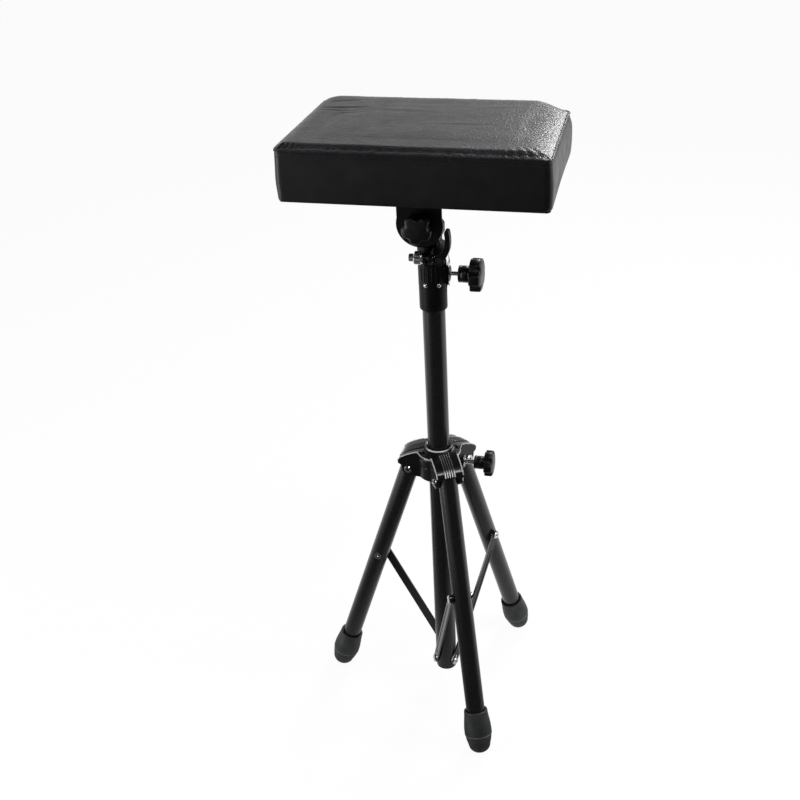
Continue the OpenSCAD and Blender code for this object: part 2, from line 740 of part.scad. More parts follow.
// Hub: a turned core, three lobes that hold the leg hinges, and a knob boss
liner_r = 14.4;
hub_top = hinge_z + hub_rise;
hub_low = hinge_z - hub_drop;
hinge_slot_r = 15;
ear_r = 7.5;
hub_boss_reach = 31;
hub_boss_r = 7.5;
rib_n = 5;
rib_pitch = 2.8;
groove = 1;
// Places on the top of a lobe, as shares of its reach and of the hub's rise
lobe_top_shares = [[0.35, 1], [0.48, 0.95], [0.61, 0.87], [0.72, 0.79], [0.82, 0.7], [0.91, 0.6],
    [0.97, 0.5], [1, 0.42]];
function lobe_top(lift) = [for (s = lobe_top_shares) [s[0] * lobe_reach, s[1] * hub_rise + lift]];
module lobe_outline() {
    translate([hinge_r, 0]) circle(ear_r);
    polygon(concat([[liner_r + edge, -hub_drop], [liner_r + edge, hub_rise]], lobe_top(0),
        [[lobe_reach - edge / 2, 0.28 * hub_rise], [hinge_r + 1.1 * ear_r, 0.2 * hub_rise],
        [hinge_r + ear_r, 0], [hinge_r, -ear_r]]));
}
module leg_slot_outline() {
    translate([hinge_r, 0]) circle(hinge_slot_r);
    translate([hinge_r - leg_r - 2 * slide_gap, -2 * hub_drop]) square([lobe_reach, 2 * hub_drop]);
}
module upright(w) { rotate([90, 0, 0]) linear_extrude(w, center = true) children(); }
module hub_body() {
    core = core_r;
    h = hub_rise + hub_drop;
    color("#1b1b1b") difference() {
        union() {
            translate([0, 0, hub_low]) rotate_extrude() polygon([[liner_r + seat_gap, 0], [core - edge, 0],
                [core, edge], [core, 0.48 * h], [core - groove, 0.48 * h + groove / 2],
                [core - groove, 0.48 * h + groove], [core, 0.48 * h + 1.5 * groove], [core, 0.8 * h],
                [core - 2 * edge, 0.88 * h], [0.76 * core, 0.97 * h], [0.7 * core, h], [liner_r + seat_gap, h]]);
            for (a = leg_azimuths) rotate([0, 0, a]) translate([0, 0, hinge_z]) {
                upright(lobe_w) lobe_outline();
                for (i = [0:rib_n - 1]) translate([0, (i - (rib_n - 1) / 2) * rib_pitch, 0])
                    upright(rib_pitch / 2) polygon(concat(lobe_top(edge), [[hinge_r, 0]]));
            }
            translate([0, 0, hub_knob_z]) along_x() rod(hub_boss_r, hub_boss_reach);
        }
        for (a = leg_azimuths) rotate([0, 0, a]) translate([0, 0, hinge_z]) {
            upright(leg_d + 2 * slide_gap) leg_slot_outline();
            rotate([90, 0, 0]) translate([hinge_r, 0, -lobe_w]) rod(hinge_rivet_d / 2 + seat_gap, 2 * lobe_w);
        }
        translate([0, 0, hub_low - over]) rod(liner_r + seat_gap, 2 * hub_rise + hub_drop);
        translate([0, 0, hub_knob_z]) along_x() rod(hub_stud_d / 2 + run_gap, 2 * hub_boss_reach);
        hub_nut_form(seat_gap);
    }
}
hub_nut_r = 5.8;
hub_nut_t = 4;
module hub_nut_form(gap) {
    translate([hub_boss_reach - 2 * hub_nut_t - gap, 0, hub_knob_z]) along_x()
        cylinder(r = hub_nut_r + gap, h = hub_nut_t + 2 * gap, $fn = 6);
}
module hub_nut() {
    color("#b08d3a") difference() {
        hub_nut_form(0);
        translate([0, 0, hub_knob_z]) along_x() rod(hub_stud_d / 2 + run_gap, 2 * hub_boss_reach);
    }
}
hub_ring_r = 16.8;
hub_ring_t = 2.6;
module hub_liner() {
    inner = column_r + slide_gap;
    h = hub_rise + hub_drop;
    color("#222222") difference() {
        translate([0, 0, hub_low]) rotate_extrude() polygon([[inner, 0], [liner_r, 0], [liner_r, h],
            [hub_ring_r, h], [hub_ring_r, h + hub_ring_t - edge], [hub_ring_r - edge, h + hub_ring_t],
            [inner + edge, h + hub_ring_t], [inner, h + hub_ring_t - edge]]);
        translate([0, 0, hub_knob_z]) along_x() rod(hub_stud_d / 2 + slide_gap, 2 * hub_boss_reach);
    }
}
module leg_hinge_rivets() {
    half = lobe_w / 2;
    color("silver") for (a = leg_azimuths) rotate([0, 0, a]) translate([hinge_r, 0, hinge_z])
        for (s = [0, 180]) rotate([90 + s, 0, 0]) hollow_rivet(hinge_rivet_d / 2, half, hinge_rivet_d * 0.8);
}
hub_collar_l = 13;
hub_collar_r = 8;
module at_hub_knob(x) { translate([x, 0, hub_knob_z]) along_x() children(); }
module hub_stud() {
    start = column_r + slide_gap;
    color("silver") at_hub_knob(start) rod(hub_stud_d / 2, hub_knob_out - hub_collar_l + stud_sink - start);
}
module hub_knob() {
    color("#1e1e1e") at_hub_knob(hub_knob_out - hub_collar_l)
        star_knob(hub_knob_d / 2, hub_knob_t, hub_collar_r, hub_collar_l,
            hub_stud_d / 2 + seat_gap, stud_sink + seat_gap);
}

// Legs: each is drawn along +Z from its hinge, then leaned out and turned
module leg_frame(i) {
    rotate([0, 0, leg_azimuths[i]]) translate([hinge_r, 0, hinge_z]) rotate([0, 180 - leg_angle, 0]) children();
}
module leg_tube(i) {
    color("#161616") leg_frame(i) difference() {
        translate([0, 0, -leg_over]) tube(leg_r, leg_in, leg_over + foot_start + foot_cup);
        translate([0, leg_d, 0]) rotate([90, 0, 0]) rod(hinge_rivet_d / 2 + run_gap, 2 * leg_d);
        translate([0, leg_d, brace_at]) rotate([90, 0, 0]) rod(rivet_d / 2 + seat_gap, 2 * leg_d);
    }
}
// Radius of the foot's outside at shares of its length
foot_shares = [[0, 0.84], [0.1, 0.87], [0.28, 0.95], [0.44, 1], [0.54, 1], [0.56, 0.965], [0.7, 0.9], [0.8, 0.8]];
foot_groove_shares = [[0.63, 0.935], [0.7, 0.905], [0.77, 0.84]];
module foot(i) {
    color("#242424") difference() {
        leg_frame(i) difference() {
            union() {
                translate([0, 0, foot_start]) rotate_extrude() polygon(concat([[0, 0]],
                    [for (s = foot_shares) [s[1] * foot_r, s[0] * foot_l]], [[0, 0.8 * foot_l]]));
                translate([0, 0, foot_start]) rotate_extrude() polygon([[0, 0.8 * foot_l],
                    [0.8 * foot_r, 0.8 * foot_l], [foot_tip_r * cos(20), foot_tip + foot_tip_r * sin(20) - foot_start],
                    [0, foot_tip + foot_tip_r * sin(20) - foot_start]]);
                translate([0, 0, foot_tip]) sphere(foot_tip_r);
            }
            translate([0, 0, foot_start - over]) rod(leg_r + seat_gap, foot_cup + seat_gap + over);
            for (s = foot_groove_shares) translate([0, 0, foot_start + s[0] * foot_l])
                rotate_extrude() translate([s[1] * foot_r + edge / 3, 0]) circle(edge / 1.6, $fn = 16);
        }
        translate([0, 0, -foot_l]) block(4 * foot_start, 4 * foot_start, foot_l);
    }
}
spacer_t = brace_side - leg_r - seat_gap;
module brace_spacer(i) {
    color("#151515") leg_frame(i) translate([0, -leg_r, brace_at]) rotate([90, 0, 0])
        ring_bar(rivet_head_r, rivet_d / 2 + seat_gap, spacer_t - slide_gap);
}
module brace_rivet(i) {
    reach = brace_side + brace_t + slide_gap;
    color("silver") leg_frame(i) {
        translate([0, leg_r, brace_at]) rotate([90, 0, 0]) rod(rivet_d / 2, leg_r);
        translate([0, 0, brace_at]) rotate([90, 0, 0]) hollow_rivet(rivet_d / 2, reach, rivet_head_r);
        translate([0, leg_r, brace_at]) rotate([-90, 0, 0]) ring_bar(rivet_head_r, rivet_d / 4, edge);
    }
}
// Brace: a rolled strip from the leg's rivet down to the column's rivet
module brace(i) {
    color("#1a1a1a") rotate([0, 0, leg_azimuths[i]])
        translate([brace_out, -brace_side, brace_high]) rotate([0, 180 + brace_angle, 0])
            rotate([90, 0, 0]) difference() {
                union() {
                    linear_extrude(brace_t) {
                        circle(brace_w / 2);
                        translate([-brace_w / 2, 0]) square([brace_w, brace_l]);
                        translate([0, brace_l]) circle(brace_w / 2);
                    }
                }
                translate([0, 0, -over]) rod(rivet_d / 2 + run_gap, brace_t + 2 * over);
                for (s = [0, 1]) translate([0, brace_l - s * brace_slot, -over])
                    rod(brace_slot_r, brace_t + 2 * over);
                translate([0, brace_l - brace_slot / 2, -over])
                    block(2 * brace_slot_r, brace_slot, brace_t + 2 * over);
                translate([-brace_w / 4, 2 * brace_w, brace_t - brace_t / 4])
                    cube([brace_w / 2, brace_l - 4 * brace_w, brace_t]);
            }
}

pad_cover();
pad_foam();
pad_board();
pad_bottom_cloth();
board_tee_nuts();
bracket_screws();
tilt_bracket();
tilt_bolt();
tilt_washer();
tilt_knob();
tilt_knob_insert();
head_block();
friction_discs();
head_post();
post_pin();
upper_tube();
clamp_ring();
skewer_rod();
skewer_washer();
cam_pin();
skewer_nut();
cam_lever();
guide_bush();
column_tube();
clamp_collar();
tube_sleeve();
collar_liner();
collar_nut();
collar_screws();
column_plug();
lower_brace_rivets();
height_knob();
height_stud();
hub_body();
hub_liner();
hub_nut();
leg_hinge_rivets();
hub_knob();
hub_stud();
leg_tube(0);  // leg_front
foot(0);  // foot_front
brace_rivet(0);  // brace_rivet_front
brace_spacer(0);  // brace_spacer_front
brace(0);  // brace_front
leg_tube(1);  // leg_right
foot(1);  // foot_right
brace_rivet(1);  // brace_rivet_right
brace_spacer(1);  // brace_spacer_right
brace(1);  // brace_right
leg_tube(2);  // leg_left
foot(2);  // foot_left
brace_rivet(2);  // brace_rivet_left
brace_spacer(2);  // brace_spacer_left
brace(2);  // brace_left
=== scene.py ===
"""Looks of the arm rest stand: camera, light, materials, the padded rest and the moulded pieces."""
import json
import math
import random

import bmesh
import bpy
import numpy as np
from mathutils import Matrix, Vector
from mathutils.bvhtree import BVHTree


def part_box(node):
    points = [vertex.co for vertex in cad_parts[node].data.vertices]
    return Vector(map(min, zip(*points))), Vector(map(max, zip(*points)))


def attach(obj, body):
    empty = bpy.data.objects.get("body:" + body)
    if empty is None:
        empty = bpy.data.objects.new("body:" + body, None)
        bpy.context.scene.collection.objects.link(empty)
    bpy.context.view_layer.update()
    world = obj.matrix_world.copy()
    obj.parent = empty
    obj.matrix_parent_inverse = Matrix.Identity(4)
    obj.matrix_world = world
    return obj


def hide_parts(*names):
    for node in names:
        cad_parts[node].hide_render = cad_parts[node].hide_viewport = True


MM = 0.001
UP = Vector((0, 0, 1))


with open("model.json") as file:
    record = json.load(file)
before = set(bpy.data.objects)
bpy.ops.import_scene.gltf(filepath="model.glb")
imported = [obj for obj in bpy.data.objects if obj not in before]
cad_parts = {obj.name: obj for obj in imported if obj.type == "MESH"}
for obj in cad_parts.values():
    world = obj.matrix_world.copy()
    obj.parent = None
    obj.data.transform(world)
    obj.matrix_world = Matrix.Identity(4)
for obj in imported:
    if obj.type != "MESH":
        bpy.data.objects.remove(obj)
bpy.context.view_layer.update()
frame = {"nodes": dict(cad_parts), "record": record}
nodes = frame["nodes"]
scene = bpy.context.scene

# Camera: where it stands in millimetres, how it is turned in degrees, its focal length in pixels
CAMERA_AT = (305.9, -1313.8, 1178.1)
CAMERA_AZIMUTH, CAMERA_DOWN, CAMERA_ROLL = -14.95, 29.33, 3.0
FOCAL_PX, PHOTO_PX, SENSOR_MM = 1323.3, 800.0, 36.0


def add_object(name, data):
    made = bpy.data.objects.new(name, data)
    scene.collection.objects.link(made)
    return made


def add_camera():
    """The photo's camera."""
    az, down, roll = (math.radians(v) for v in (CAMERA_AZIMUTH, CAMERA_DOWN, CAMERA_ROLL))
    ahead = Vector((math.sin(az) * math.cos(down), math.cos(az) * math.cos(down), -math.sin(down)))
    level = Vector((math.cos(az), -math.sin(az), 0))
    lower = ahead.cross(level)
    right = math.cos(roll) * level + math.sin(roll) * lower
    below = -math.sin(roll) * level + math.cos(roll) * lower
    data = bpy.data.cameras.new("camera")
    data.sensor_width = SENSOR_MM
    data.lens = FOCAL_PX / PHOTO_PX * SENSOR_MM
    data.clip_start, data.clip_end = 0.05, 50
    scene.camera = add_object("camera", data)
    turn = Matrix((right, -below, -ahead)).transposed()
    scene.camera.matrix_world = Matrix.Translation(Vector(CAMERA_AT) * MM) @ turn.to_4x4()


# Lights: name, place and target and size in metres, watts
LIGHTS = [
    ("back_right", (0.47, 1.60, 1.66), (0.12, 0, 0.745), (0.62, 0.42), 23),
    ("right_strip", (1.35, 0.10, 1.15), (0, 0, 0.45), (0.35, 1.5), 12),
    ("left_strip", (-1.35, -0.75, 0.55), (0, 0, 0.60), (0.40, 1.1), 14),
    ("front_key", (0.15, -1.75, 1.75), (0, 0, 0.40), (0.35, 0.25), 5),
    ("overhead", (0.80, -0.42, 2.10), (0, 0, 0.40), (0.30, 0.30), 8),
]
WORLD_LIGHT = 0.32
# The studio as glossy rays see it: a white backdrop behind, between these directions, and a dark rest
BACKDROP_Y, BACKDROP_Z, DARK_SIDE = (-0.2, 0.35), (0.62, 0.9), 0.06
# The floor to glossy rays, in metres: white from here backwards, half as bright on the left
FLOOR_BEHIND_Y, FLOOR_LEFT_X, FLOOR_LEFT, FLOOR_SIZE = (-0.30, 0.25), (-1.1, -0.15), 0.55, 12.0
FLOOR_GLOW = 0.94


def map_range(tree, source, *numbers, kind="LINEAR"):
    """Takes a value from one range to another one: low and high of each."""
    made = tree.nodes.new("ShaderNodeMapRange")
    made.interpolation_type = kind
    for name, number in zip(("From Min", "From Max", "To Min", "To Max"), numbers):
        made.inputs[name].default_value = number
    tree.links.new(source, made.inputs["Value"])
    return made.outputs["Result"]


class Field:
    """Builds the studio's sums of place, direction and kind of ray in a node tree."""

    def __init__(self, tree, coordinates):
        self.tree = tree
        split = tree.nodes.new("ShaderNodeSeparateXYZ")
        tree.links.new(tree.nodes.new("ShaderNodeTexCoord").outputs[coordinates], split.inputs[0])
        self.x, self.y, self.z = split.outputs
        rays = tree.nodes.new("ShaderNodeLightPath").outputs
        self.plain = self.join("MAXIMUM", rays["Is Camera Ray"], rays["Is Transmission Ray"])
        self.glossy = rays["Is Glossy Ray"]

    def slope(self, value, *numbers):
        """A soft step between two places, from one value to another."""
        return map_range(self.tree, value, *numbers, kind="SMOOTHSTEP")

    def join(self, kind, a, b):
        made = self.tree.nodes.new("ShaderNodeMath")
        made.operation = kind
        for n, value in enumerate((a, b)):
            if isinstance(value, (int, float)):
                made.inputs[n].default_value = value
            else:
                self.tree.links.new(value, made.inputs[n])
        return made.outputs[0]

    def mix(self, share, first, second, out):
        """Sends a mix of two shaders to the tree's output."""
        made = self.tree.nodes.new("ShaderNodeMixShader")
        for n, socket in enumerate((share, first.outputs[0], second.outputs[0])):
            self.tree.links.new(socket, made.inputs[n])
        self.tree.links.new(made.outputs[0], out.inputs["Surface"])


def add_lamps():
    for name, place, target, size, watts in LIGHTS:
        data = bpy.data.lights.new(name, "AREA")
        data.shape = "RECTANGLE"
        data.size, data.size_y = size
        data.energy = watts
        lamp = add_object(name, data)
        lamp.location = place
        lamp.rotation_euler = (Vector(target) - Vector(place)).to_track_quat("-Z", "Y").to_euler()


def add_world():
    """White to the camera and through clear parts, the studio to glossy rays, grey light to the rest."""
    world = bpy.data.worlds.new("studio")
    scene.world = world
    world.use_nodes = True
    tree = world.node_tree
    tree.nodes.clear()
    field = Field(tree, "Generated")
    across, above = field.slope(field.y, *BACKDROP_Y, 0, 1), field.slope(field.z, *BACKDROP_Z, 1, 0)
    backdrop = field.join("MAXIMUM", field.join("MULTIPLY", across, above), DARK_SIDE)
    white, grey = tree.nodes.new("ShaderNodeBackground"), tree.nodes.new("ShaderNodeBackground")
    shown = field.join("MAXIMUM", field.plain, field.join("MULTIPLY", field.glossy, backdrop))
    tree.links.new(shown, white.inputs["Strength"])
    grey.inputs["Color"].default_value = (0.9, 0.95, 1, 1)
    grey.inputs["Strength"].default_value = WORLD_LIGHT
    share = field.join("MAXIMUM", field.plain, field.glossy)
    field.mix(share, grey, white, tree.nodes.new("ShaderNodeOutputWorld"))


def add_floor():
    """A white floor that keeps the shadows and that glossy rays see as the studio's."""
    bpy.ops.mesh.primitive_plane_add(size=FLOOR_SIZE, location=(0, 0, 0))
    floor = bpy.context.object
    floor.name = "floor"
    material = bpy.data.materials.new("floor_white")
    material.use_nodes = True
    tree = material.node_tree
    base = tree.nodes["Principled BSDF"]
    base.inputs["Base Color"].default_value = (0.93, 0.93, 0.93, 1)
    base.inputs["Roughness"].default_value = 0.6
    field = Field(tree, "Object")
    behind = field.slope(field.y, *FLOOR_BEHIND_Y, 0, 1)
    left = field.slope(field.x, *FLOOR_LEFT_X, FLOOR_LEFT, 0)
    mirrored = field.join("MAXIMUM", field.join("MAXIMUM", behind, left), DARK_SIDE)
    glow = tree.nodes.new("ShaderNodeEmission")
    shown = field.join("MAXIMUM", field.plain, field.join("MULTIPLY", field.glossy, mirrored))
    tree.links.new(shown, glow.inputs["Strength"])
    share = field.join("MAXIMUM", field.join("MULTIPLY", field.plain, FLOOR_GLOW), field.glossy)
    field.mix(share, base, glow, tree.nodes["Material Output"])
    floor.data.materials.append(material)


# The materials of the record's slots, and the finer ones of single pieces, by name
MATERIALS = {}


class Shader:
    """A Principled material whose colour, roughness and bump come from nodes."""

    def __init__(self, name, colour, roughness, metallic=0.0, specular=0.5):
        MATERIALS[name] = bpy.data.materials.new(name)
        MATERIALS[name].use_nodes = True
        self.tree = MATERIALS[name].node_tree
        self.base = self.tree.nodes["Principled BSDF"]
        values = (*colour, 1), roughness, metallic, specular
        for socket, value in zip(("Base Color", "Roughness", "Metallic", "Specular IOR Level"), values):
            self.base.inputs[socket].default_value = value
        self.colour = colour
        self.place = self.node("ShaderNodeTexCoord").outputs["Object"]
        self.normal = None

    def node(self, kind, **values):
        made = self.tree.nodes.new(kind)
        for socket, value in values.items():
            made.inputs[socket].default_value = value
        return made

    def link(self, source, socket):
        self.tree.links.new(source, socket)

    def along(self, axis):
        """How far a point lies along one axis, in metres."""
        split = self.node("ShaderNodeSeparateXYZ")
        self.link(self.place, split.inputs[0])
        return split.outputs[axis]

    def noise(self, scale, detail, stretch=None):
        """Noise with a number of waves to the metre."""
        made = self.node("ShaderNodeTexNoise", Scale=scale, Detail=detail, Roughness=0.55)
        self.link(self.place, made.inputs["Vector"])
        if stretch:
            scaled = self.node("ShaderNodeMapping", Scale=stretch)
            self.link(self.place, scaled.inputs["Vector"])
            self.link(scaled.outputs["Vector"], made.inputs["Vector"])
        return made.outputs["Fac"]

    def cells(self, scale, feature="DISTANCE_TO_EDGE"):
        """Leather-like cells, a number of them to the metre."""
        made = self.node("ShaderNodeTexVoronoi", Scale=scale)
        made.feature = feature
        self.link(self.place, made.inputs["Vector"])
        return made.outputs["Distance"]

    def vary_colour(self, source, other, low=0.35, high=0.65):
        """Goes from the plain colour to another one while the source goes from low to high."""
        mix = self.node("ShaderNodeMix")
        mix.data_type = "RGBA"
        for socket in mix.inputs:
            if socket.type == "RGBA":
                socket.default_value = (*(self.colour if socket.name == "A" else other), 1)
        self.link(map_range(self.tree, source, low, high, 0, 1), mix.inputs[0])
        mixed = next(socket for socket in mix.outputs if socket.type == "RGBA")
        self.link(mixed, self.base.inputs["Base Color"])

    def vary_roughness(self, source, low, high):
        self.link(map_range(self.tree, source, 0.3, 0.7, low, high), self.base.inputs["Roughness"])

    def bump(self, source, depth_mm, strength=1.0):
        """Adds a relief to those that the material has already."""
        made = self.node("ShaderNodeBump", Strength=strength, Distance=depth_mm * MM)
        self.link(source, made.inputs["Height"])
        if self.normal is not None:
            self.link(self.normal, made.inputs["Normal"])
        self.normal = made.outputs["Normal"]
        self.link(self.normal, self.base.inputs["Normal"])


def powder_coat(name, colour, roughness, speckle=0.02, specular=0.5):
    """Gloss black powder coat with a faint orange peel and a few dull handling marks."""
    s = Shader(name, colour, roughness, specular=specular)
    s.vary_colour(s.noise(180, 5), tuple(v * 1.35 for v in colour), 0.45, 0.75)
    s.vary_roughness(s.noise(35, 6, (1, 1, 0.3)), roughness * 0.85, roughness * 1.3)
    s.bump(s.noise(520, 2), speckle)


def moulded(name, colour, roughness, grain_mm, specular=0.5):
    """Moulded nylon: a fine spark-eroded grain with smoother, lighter patches."""
    s = Shader(name, colour, roughness, specular=specular)
    s.vary_colour(s.noise(140, 5), tuple(v * 1.5 for v in colour), 0.45, 0.8)
    s.vary_roughness(s.noise(70, 5), roughness * 0.85, roughness * 1.2)
    s.bump(s.noise(1900, 3), grain_mm)


def make_pad_materials():
    # Black upholstery vinyl: pebble grain, fine wrinkles, slightly greyer where it is worn smooth
    s = Shader("pad_vinyl", (0.0075, 0.0077, 0.0092), 0.30, specular=0.31)
    s.vary_colour(s.noise(22, 6), (0.013, 0.013, 0.015), 0.4, 0.7)
    s.vary_roughness(s.noise(60, 5), 0.26, 0.38)
    s.bump(s.noise(110, 3, (1, 1.3, 1)), 0.35, 0.5)
    s.bump(s.noise(420, 2), 0.8, 0.8)
    s.bump(s.cells(560), 0.22, 0.6)
    s.bump(s.noise(2600, 2), 0.05, 0.5)
    # The side band's vinyl, duller than the top
    s = Shader("side_vinyl", (0.0028, 0.0028, 0.0032), 0.40, specular=0.33)
    s.vary_roughness(s.noise(60, 5), 0.36, 0.48)
    s.bump(s.cells(420), 0.12, 0.5)
    s.bump(s.cells(900), 0.10, 0.5)
    s = Shader("thread", (0.012, 0.012, 0.012), 0.6, specular=0.3)
    s.bump(s.noise(3000, 2), 0.05)
    s = Shader("foam", (0.78, 0.74, 0.62), 0.95)
    s.bump(s.cells(900, "F1"), 0.3)
    s = Shader("plywood", (0.56, 0.38, 0.22), 0.6)
    s.vary_colour(s.noise(40, 8, (0.25, 3, 6)), (0.40, 0.25, 0.13), 0.35, 0.7)
    s.bump(s.noise(300, 5, (0.2, 3, 3)), 0.08)
    # Spun-bonded black cloth with a pattern of pressed dots
    s = Shader("dust_cloth", (0.022, 0.022, 0.023), 0.9, specular=0.2)
    s.vary_colour(s.noise(700, 5), (0.040, 0.040, 0.041))
    s.bump(s.cells(650, "F1"), 0.12)


def make_metals():
    powder_coat("black_steel", (0.0050, 0.0050, 0.0053), 0.22)
    powder_coat("bracket_steel", (0.0028, 0.0028, 0.0030), 0.36, 0.03, 0.15)
    s = Shader("bright_steel", (0.72, 0.72, 0.73), 0.14, metallic=1.0)
    s.vary_colour(s.noise(900, 4), (0.62, 0.62, 0.64))
    s.vary_roughness(s.noise(400, 4), 0.10, 0.24)
    s.bump(s.noise(1500, 3), 0.01)
    # Brass with fine marks of the lathe
    s = Shader("brass", (0.70, 0.51, 0.21), 0.26, metallic=1.0)
    s.vary_roughness(s.noise(600, 3, (1, 12, 12)), 0.2, 0.4)


def make_nylons():
    moulded("black_nylon", (0.0030, 0.0030, 0.0032), 0.34, 0.02, 0.25)
    moulded("gloss_nylon", (0.0055, 0.0055, 0.0058), 0.14, 0.003)
    moulded("deep_nylon", (0.0022, 0.0022, 0.0023), 0.40, 0.02, 0.13)
    moulded("hub_nylon", (0.0036, 0.0036, 0.0038), 0.20, 0.008, 0.34)
    s = Shader("natural_nylon", (0.78, 0.77, 0.72), 0.42)
    s.vary_colour(s.noise(200, 4), (0.70, 0.68, 0.62))
    s.bump(s.noise(1500, 3), 0.02)
    # The hub's ribs, with a painted highlight: their colour turns light towards the lobes' lower ends
    s = Shader("rib_painted_highlight_nylon", (0.045, 0.045, 0.046), 0.22, specular=0.6)
    s.vary_colour(s.along("Z"), (0.60, 0.60, 0.605), 0.3465, 0.3435)
    s.vary_roughness(s.noise(300, 4), 0.16, 0.30)
    # The hub's raised lips, painted light as a highlight, with random darker stretches
    s = Shader("lip_painted_highlight_nylon", (0.42, 0.42, 0.425), 0.20, specular=0.6)
    s.vary_colour(s.noise(160, 4), (0.09, 0.09, 0.091), 0.52, 0.74)
    # The rim round the column, with a painted highlight: light at the front only, dark elsewhere
    s = Shader("ring_painted_highlight_nylon", (0.50, 0.50, 0.505), 0.18, specular=0.35)
    s.vary_colour(s.along("Y"), (0.006, 0.006, 0.0062), -0.0140, -0.0085)


def make_rubbers():
    s = Shader("foot_rubber", (0.013, 0.0135, 0.0142), 0.50, specular=0.4)
    s.vary_colour(s.noise(90, 6), (0.024, 0.025, 0.0265), 0.42, 0.7)
    s.vary_roughness(s.noise(120, 5), 0.45, 0.62)
    s.bump(s.noise(1500, 4), 0.05)
    # The feet's moulded line, painted grey as a highlight, with random darker patches
    s = Shader("ridge_painted_highlight_rubber", (0.16, 0.165, 0.17), 0.45, specular=0.4)
    s.vary_colour(s.noise(120, 5), (0.05, 0.052, 0.054), 0.45, 0.7)


make_pad_materials()
make_metals()
make_nylons()
make_rubbers()
SLOT_OF = {row["node"]: row["material_slot"] for row in frame["record"]["subparts"]}


def dress_frame():
    """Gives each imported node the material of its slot."""
    for name, piece in nodes.items():
        piece.data.materials.clear()
        piece.data.materials.append(MATERIALS[SLOT_OF[name]])


def new_piece(name, points, faces, finish):
    """A closed piece with smooth faces that look outward."""
    mesh = bpy.data.meshes.new(name)
    mesh.from_pydata([tuple(p) for p in points], [], faces)
    mesh.validate()
    mesh.materials.append(MATERIALS[finish])
    piece = add_object(name, mesh)
    shade_smooth(piece)
    outward(piece)
    return piece


def shade_smooth(piece):
    piece.data.polygons.foreach_set("use_smooth", [True] * len(piece.data.polygons))


def outward(piece):
    """Turns every face of a closed piece outward."""
    grid = bmesh.new()
    grid.from_mesh(piece.data)
    bmesh.ops.recalc_face_normals(grid, faces=grid.faces)
    grid.to_mesh(piece.data)
    grid.free()


def apply_modifiers(piece):
    bpy.context.view_layer.update()
    baked = bpy.data.meshes.new_from_object(piece.evaluated_get(bpy.context.evaluated_depsgraph_get()))
    piece.modifiers.clear()
    piece.data = baked


def stand_for(piece, node, body):
    """The piece takes the node's place and its body."""
    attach(piece, body)
    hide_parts(node)


def copy_of(node):
    return add_object(node + "_looks", nodes[node].data.copy())


def dress_copy(piece, node, body, finish):
    """The changed copy of a node takes its place, in its slot's material or a finer one."""
    piece.data.materials.clear()
    piece.data.materials.append(MATERIALS[finish or SLOT_OF[node]])
    stand_for(piece, node, body)


def add_voxels(piece, size_mm):
    remesh = piece.modifiers.new("voxels", "REMESH")
    remesh.mode, remesh.voxel_size = "VOXEL", size_mm * MM


def soften(node, body, voxel_mm, passes, keep, finish=None):
    """A copy of a node with all its edges rounded, as a moulding or casting has them."""
    piece = copy_of(node)
    add_voxels(piece, voxel_mm)
    smooth = piece.modifiers.new("round", "SMOOTH")
    smooth.factor, smooth.iterations = 0.5, passes
    thin = piece.modifiers.new("thin", "DECIMATE")
    thin.ratio = keep
    apply_modifiers(piece)
    shade_smooth(piece)
    dress_copy(piece, node, body, finish)
    return piece


# Copies of nodes: points closer than this are joined, faces flatter merged and sharper edges broken
JOIN_MM, FLAT_DEGREES, SHARP_DEGREES = 0.004, 1.0, 30.0


def edged(node, body, width_mm, finish):
    """A copy of a node with its sharp edges broken, as every real edge is."""
    piece = copy_of(node)
    grid = bmesh.new()
    grid.from_mesh(piece.data)
    bmesh.ops.remove_doubles(grid, verts=grid.verts, dist=JOIN_MM * MM)
    flat = math.radians(FLAT_DEGREES)
    bmesh.ops.dissolve_limit(grid, angle_limit=flat, verts=grid.verts, edges=grid.edges)
    grid.to_mesh(piece.data)
    grid.free()
    outward(piece)
    bevel = piece.modifiers.new("edges", "BEVEL")
    bevel.width, bevel.segments = width_mm * MM, 2
    bevel.limit_method, bevel.angle_limit = "ANGLE", math.radians(SHARP_DEGREES)
    bevel.use_clamp_overlap = False
    bevel.miter_outer = "MITER_ARC"
    shade_smooth(piece)
    weight = piece.modifiers.new("normals", "WEIGHTED_NORMAL")
    weight.keep_sharp = False
    apply_modifiers(piece)
    dress_copy(piece, node, body, finish)


def polar(r, turn, z=0.0):
    return Vector((r * math.cos(turn), r * math.sin(turn), z))


def circle(sides):
    """The turns of a ring's points."""
    return [2 * math.pi * k / sides for k in range(sides)]


def ring_points(centre, r, side, up, sides):
    return [centre + r * (math.cos(a) * side + math.sin(a) * up) for a in circle(sides)]


def ring_faces(count, sides, first=0, closed=False):
    """Faces between each ring of points and the next one."""
    faces = []
    for n in range(count if closed else count - 1):
        a, b = first + n * sides, first + (n + 1) % count * sides
        faces += [(a + k, b + k, b + (k + 1) % sides, a + (k + 1) % sides) for k in range(sides)]
    return faces


def end_faces(count, sides, first=0):
    """The faces that close a tube's two ends."""
    last = first + (count - 1) * sides
    return [tuple(range(first, first + sides)), tuple(range(last, last + sides))]


def bead(name, path, radius, body, finish, closed=False, sides=8, hint=(0.13, 0.21, 1)):
    """A round bead along a path in millimetres, with tapered ends where it is open."""
    points, count = [], len(path)
    for n, p in enumerate(path):
        a = path[(n + 1) % count] if closed or n + 1 < count else p
        b = path[n - 1] if closed or n > 0 else p
        ahead = (a - b).normalized()
        side = ahead.cross(Vector(hint)).normalized()
        r = radius * (0.3 if not closed and n in (0, count - 1) else 1)
        points += [at * MM for at in ring_points(p, r, side, side.cross(ahead), sides)]
    faces = ring_faces(count, sides, closed=closed) + ([] if closed else end_faces(count, sides))
    piece = new_piece(name, points, faces, finish)
    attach(piece, body)


